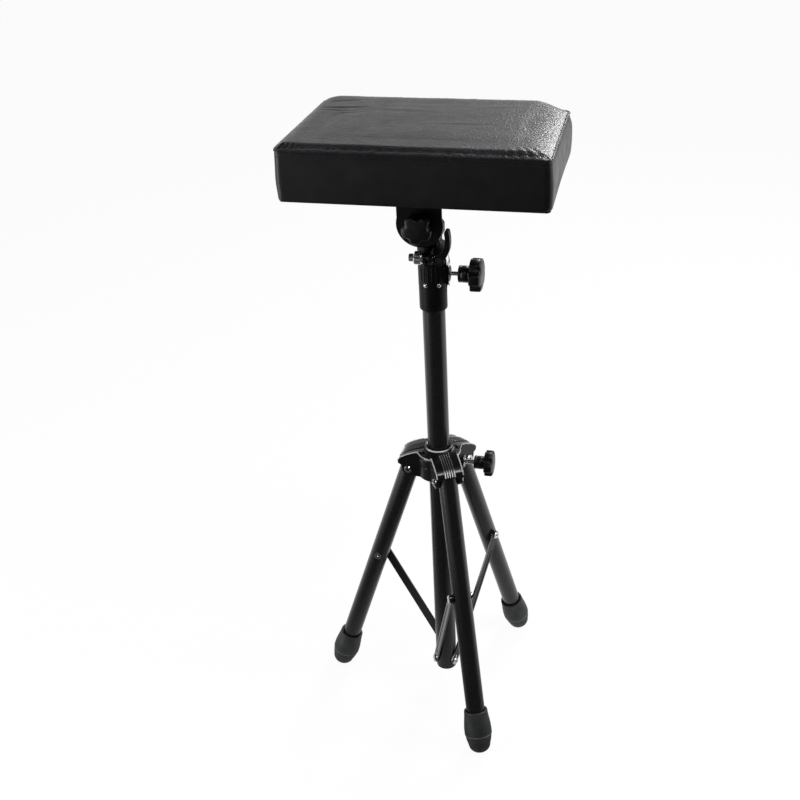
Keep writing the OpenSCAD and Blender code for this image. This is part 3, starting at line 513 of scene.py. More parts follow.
# The padded rest, in millimetres
PAD_SIDE_H, PAD_CROWN_H, PAD_CORNER_R = 55.0, 6.0, 7.0
PAD_LOW, PAD_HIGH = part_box("pad_cover")
PAD_MID = Vector(((PAD_LOW.x + PAD_HIGH.x) / 2, (PAD_LOW.y + PAD_HIGH.y) / 2, PAD_LOW.z))
PAD_HALF = ((PAD_HIGH.x - PAD_LOW.x) / 2 / MM, (PAD_HIGH.y - PAD_LOW.y) / 2 / MM)
BOARD_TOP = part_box("pad_board")[1].z


def rounded(x, y, half_x, half_y, r):
    """Moves a point of a rectangle into the same rectangle with round corners."""
    u = max(0.0, abs(x) - (half_x - r)) / r
    v = max(0.0, abs(y) - (half_y - r)) / r
    if u <= 0 or v <= 0:
        return x, y
    return (math.copysign(half_x - r + r * u * math.sqrt(1 - v * v / 2), x),
            math.copysign(half_y - r + r * v * math.sqrt(1 - u * u / 2), y))


def grid_lines(half, step):
    count = max(2, round(2 * half / step))
    return [-half + 2 * half * i / count for i in range(count + 1)]


def box_skin(half_x, half_y, height, r, step, levels):
    """A closed skin: a grid on top, a ring at each level down to 0, and a grid below.

    Returns its points, its faces, the loop of the top's edge points and the number of the top's points."""
    xs, ys = grid_lines(half_x, step), grid_lines(half_y, step)
    nx, ny = len(xs), len(ys)
    flat = [rounded(x, y, half_x, half_y, r) for y in ys for x in xs]
    squares = [(nx * j + i, nx * j + i + 1, nx * (j + 1) + i + 1, nx * (j + 1) + i)
               for j in range(ny - 1) for i in range(nx - 1)]
    loop = ([*range(nx)] + [nx * j + nx - 1 for j in range(1, ny)]
            + [nx * (ny - 1) + i for i in range(nx - 2, -1, -1)] + [nx * j for j in range(ny - 2, 0, -1)])
    points, faces = [(x, y, height) for x, y in flat], list(squares)
    ring, count = loop, len(loop)
    for z in levels:
        fresh = [*range(len(points), len(points) + count)]
        points += [(*flat[k], z) for k in loop]
        faces += [(ring[(k + 1) % count], ring[k], fresh[k], fresh[(k + 1) % count]) for k in range(count)]
        ring = fresh
    below = dict(zip(loop, ring))
    for k, (x, y) in enumerate(flat):
        if k not in below:
            below[k] = len(points)
            points.append((x, y, 0))
    faces += [(below[a], below[d], below[c], below[b]) for a, b, c, d in squares]
    return points, faces, loop, nx * ny


# The swollen form: how much smaller it starts at its sides and top, its mesh, the stuffing's pressure, the
# simulation's length and the farthest that a point may move
SWELL_IN_SIDE, SWELL_IN_TOP, SWELL_GRID, SWELL_VOXEL = 4.0, 5.0, 12.0, 5.5
SWELL_PRESSURE, SWELL_STEPS, SWELL_CAP_MM = 3.2, 20, 9.0


def swollen_pad():
    """The stuffed cover: a slightly small box, swollen by a cloth simulation over its board."""
    hx, hy = PAD_HALF[0] - SWELL_IN_SIDE, PAD_HALF[1] - SWELL_IN_SIDE
    height = PAD_SIDE_H + PAD_CROWN_H - SWELL_IN_TOP
    levels = [height * k / 5 for k in (4, 3, 2, 1, 0)]
    points, faces, _, _ = box_skin(hx, hy, height, PAD_CORNER_R, SWELL_GRID, levels)
    piece = new_piece("swell", [PAD_MID + Vector(p) * MM for p in points], faces, "pad_vinyl")
    add_voxels(piece, SWELL_VOXEL)
    apply_modifiers(piece)
    start = np.array([v.co for v in piece.data.vertices])
    board = piece.vertex_groups.new(name="board")
    board.add([int(i) for i in np.nonzero(start[:, 2] < BOARD_TOP)[0]], 1.0, "REPLACE")
    cloth = piece.modifiers.new("cloth", "CLOTH")
    cloth.settings.use_pressure = True
    cloth.settings.uniform_pressure_force = SWELL_PRESSURE
    cloth.settings.vertex_group_mass = "board"
    cloth.settings.effector_weights.gravity = 0
    cloth.settings.quality = 6
    cloth.point_cache.frame_start, cloth.point_cache.frame_end = 1, SWELL_STEPS
    for step in range(1, SWELL_STEPS + 1):
        scene.frame_set(step)
    apply_modifiers(piece)
    scene.frame_set(1)
    move = np.array([v.co for v in piece.data.vertices]) - start
    length = np.maximum(np.linalg.norm(move, axis=1), 1e-9)
    move *= np.minimum(1.0, SWELL_CAP_MM * MM / length)[:, None]
    piece.data.vertices.foreach_set("co", (start + move).ravel())
    piece.data.update()
    return piece


def smooth_step(v):
    v = min(1.0, max(0.0, v))
    return v * v * (3 - 2 * v)


class Wrinkles:
    """Gathers along the top seam, from seeded waves that are stronger in some stretches."""

    def __init__(self, seed, perimeter):
        rng = random.Random(seed)
        turn = 2 * math.pi
        self.waves = [(turn * rng.randint(low, high) / perimeter, rng.uniform(0, turn), rng.uniform(0.5, 1))
                      for low, high in ((95, 125), (150, 190), (60, 80), (210, 250))]
        self.patches = [(turn * rng.randint(3, 9) / perimeter, rng.uniform(0, turn)) for _ in range(3)]

    def gather(self, along):
        wave = sum(a * math.sin(k * along + p) for k, p, a in self.waves) / len(self.waves)
        patch = sum(math.sin(k * along + p) for k, p in self.patches) / len(self.patches)
        return wave * (0.55 + 0.45 * patch)


def hash_noise(x, y, seed):
    """Smooth value noise between -1 and 1."""
    def corner(i, j):
        v = math.sin(i * 127.1 + j * 311.7 + seed * 74.7) * 43758.5453
        return 2 * (v - math.floor(v)) - 1
    i, j = math.floor(x), math.floor(y)
    u, v = smooth_step(x - i), smooth_step(y - j)
    low = corner(i, j) * (1 - u) + corner(i + 1, j) * u
    high = corner(i, j + 1) * (1 - u) + corner(i + 1, j + 1) * u
    return low * (1 - v) + high * v


def edge_gap(x, y):
    """Distance from a point of the top to the pad's edge, in millimetres."""
    (hx, hy), r = PAD_HALF, PAD_CORNER_R
    dx, dy = abs(x) - (hx - r), abs(y) - (hy - r)
    if dx > 0 and dy > 0:
        return r - math.hypot(dx, dy)
    return min(hx - abs(x), hy - abs(y))


def around(x, y):
    """Place of the nearest edge point along the pad's outline, in millimetres."""
    hx, hy = PAD_HALF
    if (hx - abs(x)) > (hy - abs(y)):
        return x + hx if y < 0 else 2 * hx + 2 * hy + (hx - x)
    return 2 * hx + (y + hy) if x > 0 else 4 * hx + 2 * hy + (hy - y)


# How far the top takes to level off from each side
CROWN_FRONT, CROWN_BACK, CROWN_RIGHT, CROWN_LEFT = 12.0, 24.0, 42.0, 18.0
# Where the shoulders start beside the seam, and the front's rises: share of the height, start and length
SHOULDER_FROM, FRONT_RISES = 0.6, [(0.26, 0.0, 0.17), (0.12, 0.0, 0.66), (0.62, 0.32, 0.86)]
# Where the corners droop: side in x and y, reach, depth
DROOPS = [(1, 1, 42.0, 8.5), (-1, 1, 22.0, 2.6), (1, -1, 14.0, 1.0), (-1, -1, 11.0, 1.3)]
# The swollen form is measured on a grid that starts this far inside the pad's edge
SWELL_STEP_MM, SWELL_EDGE_MM = 20.0, 12.0


class SwellMap:
    """Heights of the swollen form over the pad, smoothed, in millimetres against their middle."""

    def __init__(self, form):
        tree = BVHTree.FromPolygons([v.co.copy() for v in form.data.vertices],
                                    [tuple(face.vertices) for face in form.data.polygons])
        self.half = [half - SWELL_EDGE_MM for half in PAD_HALF]
        self.nx, self.ny = (int(2 * half / SWELL_STEP_MM) + 1 for half in PAD_HALF)
        heights = np.array([[self.measure(tree, i, j) for i in range(self.nx)] for j in range(self.ny)])
        for _ in range(2):
            wide = np.pad(heights, 1, mode="edge")
            heights = sum(wide[a:a + self.ny, b:b + self.nx] for a in range(3) for b in range(3)) / 9
        self.heights = heights - np.median(heights)

    def measure(self, tree, i, j):
        """Height of the form under a point of the grid."""
        x = -self.half[0] + 2 * self.half[0] * i / (self.nx - 1)
        y = -self.half[1] + 2 * self.half[1] * j / (self.ny - 1)
        above = PAD_MID + Vector((x, y, 2 * PAD_SIDE_H)) * MM
        hit = tree.ray_cast(above, -UP)[0]
        return hit.z / MM if hit else 0.0

    def place(self, value, half, count):
        """The grid's line before a place, and how far past it the place is."""
        at = min(count - 1.001, max(0.0, (value + half) / (2 * half) * (count - 1)))
        return int(at), smooth_step(at - int(at))

    def at(self, x, y):
        """Height at a point of the pad, between the grid's points."""
        i, a = self.place(x, self.half[0], self.nx)
        j, b = self.place(y, self.half[1], self.ny)
        low, high = self.heights[j], self.heights[j + 1]
        return (low[i] * (1 - a) + low[i + 1] * a) * (1 - b) + (high[i] * (1 - a) + high[i + 1] * a) * b


def level_share(gap, run):
    """A round shoulder: steep at the seam and level at the end of its run."""
    left = 1 - min(1.0, max(0.0, gap - SHOULDER_FROM) / run)
    return (1 - left**2.2) ** 0.62


def front_share(gap, run):
    """Steep beside the seam, flatter where the gathers are, then steep again up to the top."""
    return sum(share * smooth_step((gap - start * run) / (length * run))
               for share, start, length in FRONT_RISES)


# How far the cover's ends bulge sideways at the front and at the back
SPREAD_RIGHT, SPREAD_LEFT = (3.8, 0.2), (4.4, -2.6)
# The round back right corner: reach, depth, share sideways, and the heights between which it grows
PULL_REACH, PULL_MM, PULL_ASIDE, PULL_FROM, PULL_TO = 30.0, 3.2, 0.6, 38, 55
# Radius of the lower edge, how much more the corners have on the right and on the left, and their reach
HEM_R, HEM_RIGHT, HEM_LEFT, HEM_REACH = 1.6, 5.0, 1.6, 14.0


def spread(x, y):
    """The cover is stuffed fuller towards the front: how far a point moves sideways."""
    hx, hy = PAD_HALF
    front, back = SPREAD_RIGHT if x > 0 else SPREAD_LEFT
    return x / hx * (0.5 * (front + back) - 0.5 * (front - back) * y / hy)


def near_corner(x, y, side_x, side_y, reach):
    """From 1 at a corner of the pad down to 0 at the reach."""
    away = math.hypot(x - side_x * PAD_HALF[0], y - side_y * PAD_HALF[1]) / reach
    return max(0.0, 1 - away**2) ** 2


def corner_pull(x, y):
    """The back right corner is rounder than the others: how far a point of the top moves in."""
    pulled = PULL_MM * near_corner(x, y, 1, 1, PULL_REACH)
    return Vector((PULL_ASIDE * pulled, pulled, 0))


def crown(x, y):
    """How much of the crown's height a point of the top has, from 0 at the seam to 1."""
    hx, hy = PAD_HALF
    return (front_share(y + hy, CROWN_FRONT) * level_share(hy - y, CROWN_BACK)
            * level_share(hx - x, CROWN_RIGHT) * level_share(x + hx, CROWN_LEFT))


def droop(x, y):
    """How far the seam sinks near the soft corners."""
    return sum(depth * near_corner(x, y, side_x, side_y, reach) for side_x, side_y, reach, depth in DROOPS)


def hem_radius(x, y):
    """Radius of the lower edge, larger at the corners."""
    near = max(0.0, 1 - math.hypot(PAD_HALF[0] - abs(x), PAD_HALF[1] - abs(y)) / HEM_REACH)
    return HEM_R + (HEM_RIGHT if x > 0 else HEM_LEFT) * near


# The cover's mesh: distance of the top's points, in full and quick, and the side's rings below the seam
TOP_STEP, TOP_STEP_QUICK = 1.4, 6.0
SIDE_DROPS = (0.6, 1.4, 2.4, 4, 6, 9, 13, 18, 24, 30, 36, 41, 45, 48.5, 51, 53, 54.4)
# Uneven stuffing under the top: heights of the swollen form, of wide waves and of ripples
SWELL_MM, WAVE_MM, RIPPLE_MM = 0.8, 0.30, 0.09
# Gathers beside the seam: where they are highest, how far they fade outwards and inwards, and their heights
GATHER_GAP, GATHER_OUT, GATHER_IN, GATHER_MM, PUCKER_MM = 3.4, 2.0, 4.0, 0.6, 1.0
# Share of the gathers on the short sides
SHORT_SIDE = 0.45
# How deep the top dips at the seam, the side at the seam and at its stitches, and how wide each dip is
TOP_DIP, SIDE_DIP, STITCH_DIP = (0.6, 1.2), (0.45, 1.5), (0.28, 0.7)
# The side band: its bulge, its pull between the corners at the long and short sides, and its waves
BULGE_MM, BULGE_IN, PULL_LONG, PULL_SHORT, SIDE_GATHER, SIDE_WAVE = 1.3, 0.2, 0.8, 0.7, 0.5, 0.4
# Half sizes of the cover's skin, which lies inside the solid's
SKIN_HALF = tuple(half - 1.0 for half in PAD_HALF)
# The row of stitches that holds the seam's allowance: drop below the piping, length, pitch and radius
STITCH_DROP, STITCH_L, STITCH_PITCH, STITCH_R = 6.4, 2.6, 3.9, 0.32
PIPING_R = 0.95


def bell(distance, width):
    return math.exp(-(distance / width) ** 2)


def top_height(x, y, wrinkles, swells):
    """Height of a point of the top panel."""
    gap, along, share = edge_gap(x, y), around(x, y), crown(x, y)
    swell = SWELL_MM * math.tanh(0.5 * swells.at(x, y)) * smooth_step((gap - 14) / 50)
    near = bell(gap - GATHER_GAP, GATHER_IN if gap > GATHER_GAP else GATHER_OUT)
    near *= 1.0 if PAD_HALF[0] - abs(x) > PAD_HALF[1] - abs(y) else SHORT_SIDE
    return (PAD_SIDE_H - droop(x, y) + (PAD_CROWN_H + swell) * share
            + near * (GATHER_MM * wrinkles.gather(along) + PUCKER_MM * pucker(along))
            - TOP_DIP[0] * bell(gap, TOP_DIP[1])
            + WAVE_MM * hash_noise((x + 0.4 * y) / 42, (y - 0.3 * x) / 30, 3) * share
            + RIPPLE_MM * hash_noise((x - y) / 15, (x + y) / 17, 5) * share
            + crease(x, y))


def side_point(x, y, z, wrinkles):
    """A point of the side band, pushed out or in across the band and lowered with the seam."""
    hx, hy = SKIN_HALF
    along, drop, arch = around(x, y), PAD_SIDE_H - z, math.sin(math.pi * z / PAD_SIDE_H)
    grow = BULGE_MM * arch - BULGE_IN
    grow -= PULL_LONG * smooth_step(1 - abs(x) / hx) if abs(y) > hy - 1 else 0
    grow -= PULL_SHORT * smooth_step(1 - abs(y) / hy) if abs(x) > hx - 1 else 0
    grow -= SIDE_DIP[0] * bell(drop, SIDE_DIP[1]) + STITCH_DIP[0] * bell(drop - STITCH_DROP, STITCH_DIP[1])
    hem = hem_radius(x, y)
    if z < hem:
        grow -= hem - math.sqrt(hem**2 - (hem - z) ** 2)
    grow += SIDE_GATHER * wrinkles.gather(along) * bell(drop, 5.0)
    grow += SIDE_WAVE * hash_noise(along / 24, z / 20, 9) * arch
    nx, ny = side_normal(x, y)
    return x + nx * grow, y + ny * grow, z * (1 - droop(x, y) / PAD_SIDE_H)


def hem_point(x, y):
    """A point of the underside, drawn in at the hem."""
    if edge_gap(x, y) >= 2:
        return x, y, 0.0
    (nx, ny), hem = side_normal(x, y), hem_radius(x, y)
    return x - nx * hem, y - ny * hem, 0.0


def build_pad():
    """The cover: top panel, side band and piped seam, laid over the swollen form."""
    form = swollen_pad()
    swells = SwellMap(form)
    bpy.data.objects.remove(form)
    hx, hy = SKIN_HALF
    levels = [PAD_SIDE_H - drop for drop in SIDE_DROPS] + [0.0]
    step = TOP_STEP
    points, faces, loop, top_count = box_skin(hx, hy, PAD_SIDE_H, PAD_CORNER_R, step, levels)
    wrinkles = Wrinkles(11, 4 * (hx + hy))
    moved = []
    for n, (x, y, z) in enumerate(points):
        pulled = corner_pull(x, y) * smooth_step((z - PULL_FROM) / (PULL_TO - PULL_FROM))
        if n < top_count:
            z = top_height(x, y, wrinkles, swells)
        elif z > 0:
            x, y, z = side_point(x, y, z, wrinkles)
        else:
            x, y, z = hem_point(x, y)
        moved.append(PAD_MID + (Vector((x + spread(x, y), y, z)) - pulled) * MM)
    piece = new_piece("pad_cover_looks", moved, faces, "pad_vinyl")
    piece.data.materials.append(MATERIALS["side_vinyl"])
    for face in piece.data.polygons:
        if max(face.vertices) >= top_count:
            face.material_index = 1
    stand_for(piece, "pad_cover", "pad")
    seam = [moved[k] for k in loop]
    add_piping(seam)
    add_stitches([p - UP * STITCH_DROP * MM for p in seam])


# The foam's mesh in full and quick, the heights between which it sinks, and how much against the cover
FOAM_VOXEL, FOAM_VOXEL_QUICK, FOAM_FROM, FOAM_TO, FOAM_SINK = 2.5, 6.0, 20, 45, 1.3


def build_foam():
    """The foam, pressed down with the cover at the soft corners."""
    piece = soften("pad_foam", "pad", FOAM_VOXEL, 2, 0.5)
    for v in piece.data.vertices:
        x, y, z = (v.co - PAD_MID) / MM
        sunk = corner_pull(x, y) + UP * FOAM_SINK * droop(x, y)
        v.co -= sunk * smooth_step((z - FOAM_FROM) / (FOAM_TO - FOAM_FROM)) * MM


# A stitch from end to end: place along its length and thickness, as shares
STITCH_FORM, STITCH_SIDES = ((-0.5, 0.25), (-0.3, 0.9), (0.0, 1.0), (0.3, 0.9), (0.5, 0.25)), 6


def add_stitches(path):
    """Short threads along a line round the side band, each sunk at its ends."""
    ends = path[1:] + path[:1]
    lengths = [0.0]
    for a, b in zip(path, ends):
        lengths.append(lengths[-1] + (b - a).length / MM)
    rings, points, faces = len(STITCH_FORM), [], []
    count = int(lengths[-1] / STITCH_PITCH)
    n = 0
    for k in range(count):
        mid = (k + 0.5) * lengths[-1] / count
        while lengths[n + 1] < mid:
            n += 1
        a, b = path[n], ends[n]
        ahead = (b - a).normalized()
        out = ahead.cross(UP).normalized()
        centre = a.lerp(b, (mid - lengths[n]) / max(lengths[n + 1] - lengths[n], 1e-6))
        if out.dot(centre - PAD_MID) < 0:
            out.negate()
        start = len(points)
        for share, thick in STITCH_FORM:
            at = centre + (ahead * share * STITCH_L + out * (0.15 - share**2 * STITCH_R)) * MM
            points += ring_points(at, STITCH_R * thick * MM, out, UP, STITCH_SIDES)
        faces += ring_faces(rings, STITCH_SIDES, start) + end_faces(rings, STITCH_SIDES, start)
    piece = new_piece("pad_stitches", points, faces, "thread")
    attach(piece, "pad")


def side_normal(x, y):
    """Direction out of the side band at a point of the pad's outline."""
    (hx, hy), r = SKIN_HALF, PAD_CORNER_R
    dx, dy = abs(x) - (hx - r), abs(y) - (hy - r)
    if dx > 0 and dy > 0:
        d = math.hypot(dx, dy)
        return math.copysign(dx / d, x), math.copysign(dy / d, y)
    return (math.copysign(1, x), 0.0) if hx - abs(x) < hy - abs(y) else (0.0, math.copysign(1, y))


# Creases of the top: middle in millimetres, run in degrees, half length, half width, depth
CREASES = [(-104, 38, 4, 34, 2.6, 0.55), (-108, 27, -7, 26, 2.2, 0.45), (-96, 18, 10, 20, 2.0, 0.35),
           (-131, -86, 60, 7, 1.3, 1.5), (-126, -87, 68, 7, 1.2, 1.3), (-120, -88, 76, 7, 1.2, 1.0),
           (122, -80, -48, 12, 1.6, 0.6), (114, -82, -60, 11, 1.5, 0.6), (105, -84, -70, 10, 1.5, 0.5),
           (96, -85, -78, 9, 1.4, 0.4), (30, -12, 3, 40, 3.5, 0.3), (-40, 30, -4, 46, 4.0, 0.3),
           (70, 48, 7, 30, 3.5, 0.25), (-110, 62, 12, 26, 2.4, 0.4)]


def pucker(along):
    """Fine gathers of the seam, closer in some stretches than in others."""
    return hash_noise(along / 3.4, 0.5, 21) * (0.55 + 0.45 * hash_noise(along / 31, 7.5, 22))


def crease(x, y):
    """Depth of the creases at a point of the top, each with a low ridge beside it."""
    total = 0.0
    for cx, cy, turn, half, width, depth in CREASES:
        a = math.radians(turn)
        along = (x - cx) * math.cos(a) + (y - cy) * math.sin(a)
        across = -(x - cx) * math.sin(a) + (y - cy) * math.cos(a)
        if abs(along) < 2 * half and abs(across) < 5 * width:
            ridge = 0.6 * bell(across - 1.9 * width, width)
            total += depth * math.exp(-(along / half) ** 2 * 1.5) * (ridge - bell(across, width))
    return total


def add_piping(seam):
    """The welt in the seam between the top panel and the side band."""
    path = []
    for p in seam:
        nx, ny = side_normal((p.x - PAD_MID.x) / MM, (p.y - PAD_MID.y) / MM)
        path.append(p / MM + Vector((nx * -0.05, ny * -0.05, 0.15)))
    bead("pad_piping", path, PIPING_R, "pad", "pad_vinyl", closed=True, hint=(0, 0, 1))


# Star knobs: lobes, points round, radius of the head's edge and rise of its dome
KNOB_LOBES, KNOB_SIDES, KNOB_EDGE, KNOB_DOME = 5, 120, 1.2, 0.42
# Their notches: place and radius as shares of the knob's radius, and how soft the shoulders are
NOTCH_PLACE, NOTCH_R, SHOULDER_MM = 1.16, 0.36, 0.9


def lobed_radius(r, angle):
    """Outline of a star knob: a circle with round notches and soft shoulders."""
    place, notch = NOTCH_PLACE * r, NOTCH_R * r
    step = 2 * math.pi / KNOB_LOBES
    d = (angle + step / 2) % step - step / 2
    inside = notch**2 - (place * math.sin(d)) ** 2
    if inside <= 0:
        cut = place * math.cos(d) + 2 * abs(place * math.sin(d)) - 2 * notch
    else:
        cut = place * math.cos(d) - math.sqrt(inside)
    return -SHOULDER_MM * math.log(math.exp(-r / SHOULDER_MM) + math.exp(-cut / SHOULDER_MM))


def knob_profile(r, head_t, collar_r, collar_l):
    """A knob from its collar's end to its face: height, radius, and whether the lobes shape it."""
    rows = [(0.0, collar_r - 0.8, False), (0.25, collar_r - 0.2, False), (0.9, collar_r, False)]
    if collar_l > 6:
        for at in (2.6, collar_l - 3.0):
            rows += [(at + up, collar_r * share, False)
                     for up, share in ((0, 0.99), (0.35, 0.94), (0.95, 0.94), (1.3, 0.985))]
    rows += [(collar_l - 1.0, collar_r * 0.97, False), (collar_l - 0.3, collar_r * 0.97 + 0.5, False)]
    for k in range(6):
        a = math.radians(90 * k / 5)
        rows.append((collar_l + KNOB_EDGE * (1 - math.cos(a)), r - KNOB_EDGE * (1 - math.sin(a)), True))
    rows.append((collar_l + head_t * 0.5, r, True))
    rise = (KNOB_DOME * head_t + KNOB_EDGE) * 0.6
    for k in range(1, 10):
        a = math.radians(90 * k / 9)
        rows.append((collar_l + head_t - KNOB_EDGE + rise * math.sin(a),
                     (r - 0.4) * math.cos(a) ** 0.62 + 0.4 * math.cos(a), True))
    return rows


def star_knob(node, direction, r, head_t, collar_r, collar_l, start, turn_deg):
    """A moulded knob: ribbed collar, lobed head with soft edges and a domed face. Sizes in millimetres."""
    profile = knob_profile(r, head_t, collar_r, collar_l)
    base = Vector(start) * MM
    turn = UP.rotation_difference(Vector(direction))
    points = [base.copy()]
    for height, radius, lobed in profile[:-1]:
        for angle in circle(KNOB_SIDES):
            shape = lobed_radius(r, angle - math.radians(turn_deg))
            out = max(min(radius, shape - (r - radius) * 0.55) if lobed else radius, 0.3)
            points.append(base + turn @ (polar(out, angle, height) * MM))
    points.append(base + turn @ (UP * profile[-1][0] * MM))
    rings, top = len(profile) - 1, len(points) - 1
    last = top - KNOB_SIDES
    faces = [(0, 1 + (k + 1) % KNOB_SIDES, 1 + k) for k in range(KNOB_SIDES)]
    faces += ring_faces(rings, KNOB_SIDES, 1)
    faces += [(last + k, last + (k + 1) % KNOB_SIDES, top) for k in range(KNOB_SIDES)]
    piece = new_piece(node + "_looks", points, faces, SLOT_OF[node])
    stand_for(piece, node, node)


def middle(node):
    """Middle of a node's box, in millimetres."""
    low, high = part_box(node)
    return (low + high) / 2 / MM


# Knobs on level studs: node, stud, radius, head's thickness, collar's radius and length
SIDE_KNOBS = [("height_knob", "height_stud", 19.0, 11.5, 9.6, 13.5),
              ("hub_knob", "hub_stud", 15.5, 9.0, 8.0, 13.0)]
TILT_KNOB = (16.5, 13.0, 9.0, 3.0)


def build_knobs():
    for node, stud, *sizes in SIDE_KNOBS:
        start = (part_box(node)[0].x / MM, 0, middle(stud).z)
        star_knob(node, (1, 0, 0), *sizes, start, 18)
    bolt = middle("tilt_bolt")
    start = (bolt.x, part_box("tilt_knob")[1].y / MM, bolt.z)
    star_knob("tilt_knob", (0, -1, 0), *TILT_KNOB, start, 13)


# Legs: radius and height of their hinges in millimetres, their lean and turns in degrees
HINGE_R, HINGE_Z, LEG_ANGLE = 35.0, 328.0, 18.7
LEG_TURNS = {"front": -62.0, "right": 58.0, "left": 178.0}
# Rubber feet, in millimetres: length, largest radius, bore's radius and depth, points round
FOOT_L, FOOT_R, FOOT_BORE_R, FOOT_CUP, FOOT_SIDES = 55.0, 16.8, 11.4, 32.0, 64
# Their outline down to the moulded line, as shares of length and radius, and the line's place and radius
FOOT_FORM = [(0.1, 0.872), (0.19, 0.91), (0.28, 0.95), (0.36, 0.98), (0.44, 0.998), (0.5, 1.0),
             (0.545, 0.998), (0.557, 0.985), (0.565, 0.962)]
LINE_AT, LINE_SHARE, LINE_R = 0.56, 0.975, 0.4
# The grooves below it: count, start, length and depth as shares, and the round tip's start and height
GROOVES, GROOVES_FROM, GROOVES_LONG, GROOVE_DEPTH, TIP_FROM, TIP_MM = 6, 0.585, 0.215, 0.016, 0.8, 11.3


def foot_profile():
    """Distance from the foot's start along the leg, and radius: bore, cuff, bulb, grooves and round tip."""
    rows = [(FOOT_CUP, 0.0), (FOOT_CUP, FOOT_BORE_R), (0.9, FOOT_BORE_R), (0.15, FOOT_BORE_R + 0.5)]
    rows += [(at, share * FOOT_R) for at, share in ((0.0, 0.80), (0.25, 0.845), (1.0, 0.858), (2.0, 0.862))]
    rows += [(at * FOOT_L, share * FOOT_R) for at, share in FOOT_FORM]
    steps = GROOVES * 6
    for k in range(steps + 1):
        at = GROOVES_FROM + GROOVES_LONG * k / steps
        share = 0.962 - 0.155 * ((at - 0.565) / 0.235) ** 1.7
        groove = GROOVE_DEPTH * (0.5 - 0.5 * math.cos(2 * math.pi * k / 6)) ** 2
        rows.append((at * FOOT_L, (share - groove) * FOOT_R))
    for k in range(1, 13):
        a = math.radians(90 * k / 12)
        rows.append((TIP_FROM * FOOT_L + TIP_MM * math.sin(a), TIP_FROM * FOOT_R * math.cos(a) ** 0.85))
    return rows


def outward_and_side(degrees):
    """Level directions away from the column at a turn, and to the left of it."""
    az = math.radians(degrees)
    return polar(1, az), Vector((-math.sin(az), math.cos(az), 0))


def build_feet():
    """The rubber feet, cut flat by the floor, each with its moulded line."""
    lean, rows = math.radians(LEG_ANGLE), foot_profile()
    faces = ring_faces(len(rows), FOOT_SIDES) + end_faces(len(rows), FOOT_SIDES)
    for name, degrees in LEG_TURNS.items():
        out, side = outward_and_side(degrees)
        ahead = out * math.sin(lean) - UP * math.cos(lean)
        up = ahead.cross(side)
        start = out * HINGE_R + UP * HINGE_Z + ahead * (HINGE_Z / math.cos(lean) - FOOT_L)
        points = [Vector((p.x, p.y, max(p.z, 0.0))) * MM for at, r in rows
                  for p in ring_points(start + ahead * at, max(r, 0.02), side, up, FOOT_SIDES)]
        piece = new_piece("foot_" + name + "_looks", points, faces, "foot_rubber")
        stand_for(piece, "foot_" + name, "leg_" + name)
        # The moulded line's grey is a painted highlight
        line = ring_points(start + ahead * LINE_AT * FOOT_L, LINE_SHARE * FOOT_R, side, up, FOOT_SIDES)
        bead("foot_" + name + "_ridge", line, LINE_R, "leg_" + name, "ridge_painted_highlight_rubber", True)


# The hub: its core, the core's rim, its lobes' reach and width, its rise above the hinges
CORE_R, CORE_RIM_Z, LOBE_REACH, LOBE_W, HUB_RISE = 26.0, 349.5, 47.5, 33.0, 26.5
# Line of a lobe's top, as shares of its reach and of the rise
LOBE_TOP = [(0.48, 0.95), (0.61, 0.87), (0.72, 0.79), (0.82, 0.7), (0.91, 0.6), (0.97, 0.5), (1, 0.42)]
# The ring round the column: radius, its bead's radius and top
RING_R, RING_TUBE_R, RING_LIFT = 15.9, 1.1, 2.75
# The ribs and the lips: radius and how far they stand out, the ribs' pitch, the lips' place at the side
RIB_R, RIB_LIFT, RIB_PITCH, LIP_R, LIP_LIFT, LIP_IN = 0.72, 0.7, 2.8, 0.7, 0.15, 0.55


def smooth_path(corners, steps):
    """Points of a curve through the corners."""
    path = []
    for n in range(len(corners) - 1):
        p0, p1 = corners[max(0, n - 1)], corners[n]
        p2, p3 = corners[n + 1], corners[min(len(corners) - 1, n + 2)]
        for k in range(steps):
            t = k / steps
            path.append(0.5 * ((2 * p1) + (p2 - p0) * t + (2 * p0 - 5 * p1 + 4 * p2 - p3) * t * t
                               + (3 * p1 - p0 - 3 * p2 + p3) * t * t * t))
    path.append(corners[-1])
    return path


def lobe_line(degrees, across, lift, top):
    """A line down a lobe's top, beside its middle."""
    out, side = outward_and_side(degrees)
    return [out * r * LOBE_REACH + side * across + UP * (HINGE_Z + h * HUB_RISE + lift) for r, h in top]


def build_hub_lips():
    """The ring round the column, and each lobe's lip and ribs."""
    height = HINGE_Z + HUB_RISE + RING_LIFT - RING_TUBE_R
    ring = [polar(RING_R, turn, height) for turn in circle(96)]
    # The ring's light front is a painted highlight
    bead("hub_ring_bead", ring, RING_TUBE_R, "hub", "ring_painted_highlight_nylon", closed=True, sides=14)
    turns = sorted(LEG_TURNS.values())
    for n, degrees in enumerate(turns):
        add_lip(n, degrees, turns[n + 1] if n < 2 else turns[0] + 360)
        add_ribs(n, degrees)


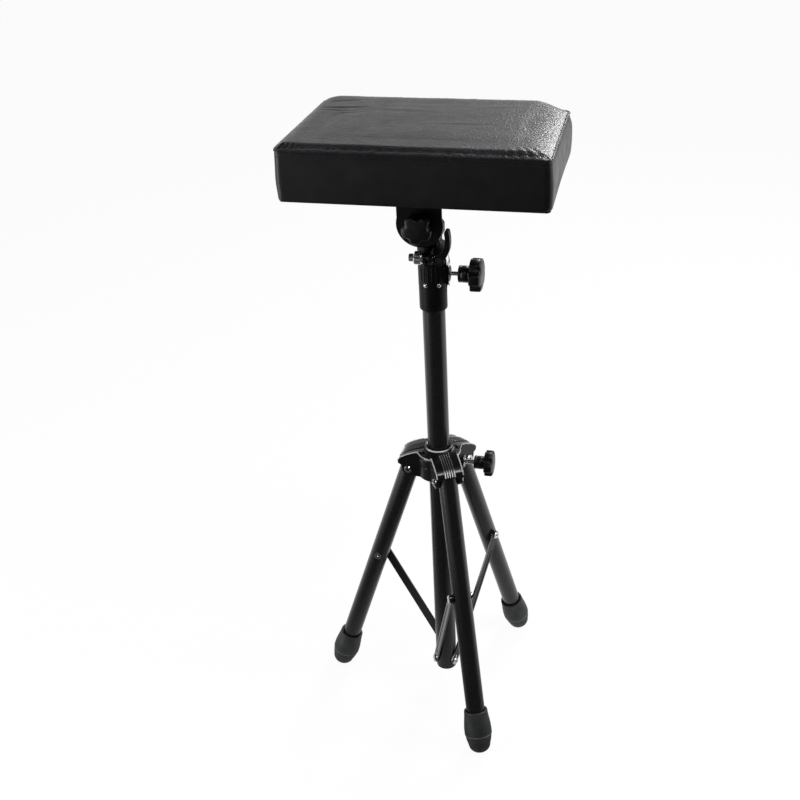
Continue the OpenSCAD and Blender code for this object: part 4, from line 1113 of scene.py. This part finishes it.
def add_lip(n, degrees, following):
    """A raised lip: up one lobe's side, along the core's rim and down the next lobe's side."""
    half = LOBE_W / 2 - LIP_IN
    lean = math.asin(half / CORE_R) + 0.05
    a, b = math.radians(degrees) + lean, math.radians(following) - lean
    rim = [polar(CORE_R - 0.5, a + (b - a) * k / 14, CORE_RIM_Z) for k in range(15)]
    first = lobe_line(degrees, half, LIP_LIFT, LOBE_TOP)
    last = lobe_line(following, -half, LIP_LIFT, LOBE_TOP)
    path = smooth_path(first[::-1], 3) + smooth_path(rim, 2) + smooth_path(last, 3)
    # The lips' light colour is a painted highlight
    bead("hub_lip_%d" % n, path, LIP_R, "hub", "lip_painted_highlight_nylon")


def add_ribs(n, degrees):
    """Five ribs down a lobe's top and over its end."""
    out, side = outward_and_side(degrees)
    for k in range(-2, 3):
        line = lobe_line(degrees, k * RIB_PITCH, RIB_LIFT, [(0.42, 0.975)] + LOBE_TOP)
        line[-1] = out * (LOBE_REACH + 0.1) + side * k * RIB_PITCH + UP * (HINGE_Z + 0.40 * HUB_RISE)
        path = smooth_path(line, 3)
        # The ribs' light lower ends are a painted highlight
        bead("hub_rib_%d_%d" % (n, k + 2), path, RIB_R, "hub", "rib_painted_highlight_nylon")


# Rounded copies: node, body, voxel in millimetres, smoothing passes and share of the faces kept
SOFTENED = [("head_block", "head", 0.45, 4, 0.3), ("cam_lever", "cam_lever", 0.35, 5, 0.4)]
# Copies with broken edges: node, body, width of the edges, and a material finer than the slot's
EDGED = [("hub_body", "hub", 0.3, "hub_nylon"), ("hub_liner", "hub", 0.4, None),
         ("clamp_collar", "column", 0.35, "deep_nylon"), ("clamp_ring", "mast", 0.3, "deep_nylon"),
         ("tilt_bracket", "pad", 0.3, None), ("tube_sleeve", "column", 0.35, "deep_nylon")]


def build_mouldings():
    for node, body, voxel, passes, keep in SOFTENED:
        soften(node, body, voxel, passes, keep, "deep_nylon")
    for node, body, width, finish in EDGED:
        edged(node, body, width, finish)


add_camera()
add_lamps()
add_world()
add_floor()
dress_frame()
build_pad()
build_foam()
build_knobs()
build_feet()
build_mouldings()
build_hub_lips()

scene.view_settings.view_transform = "Standard"
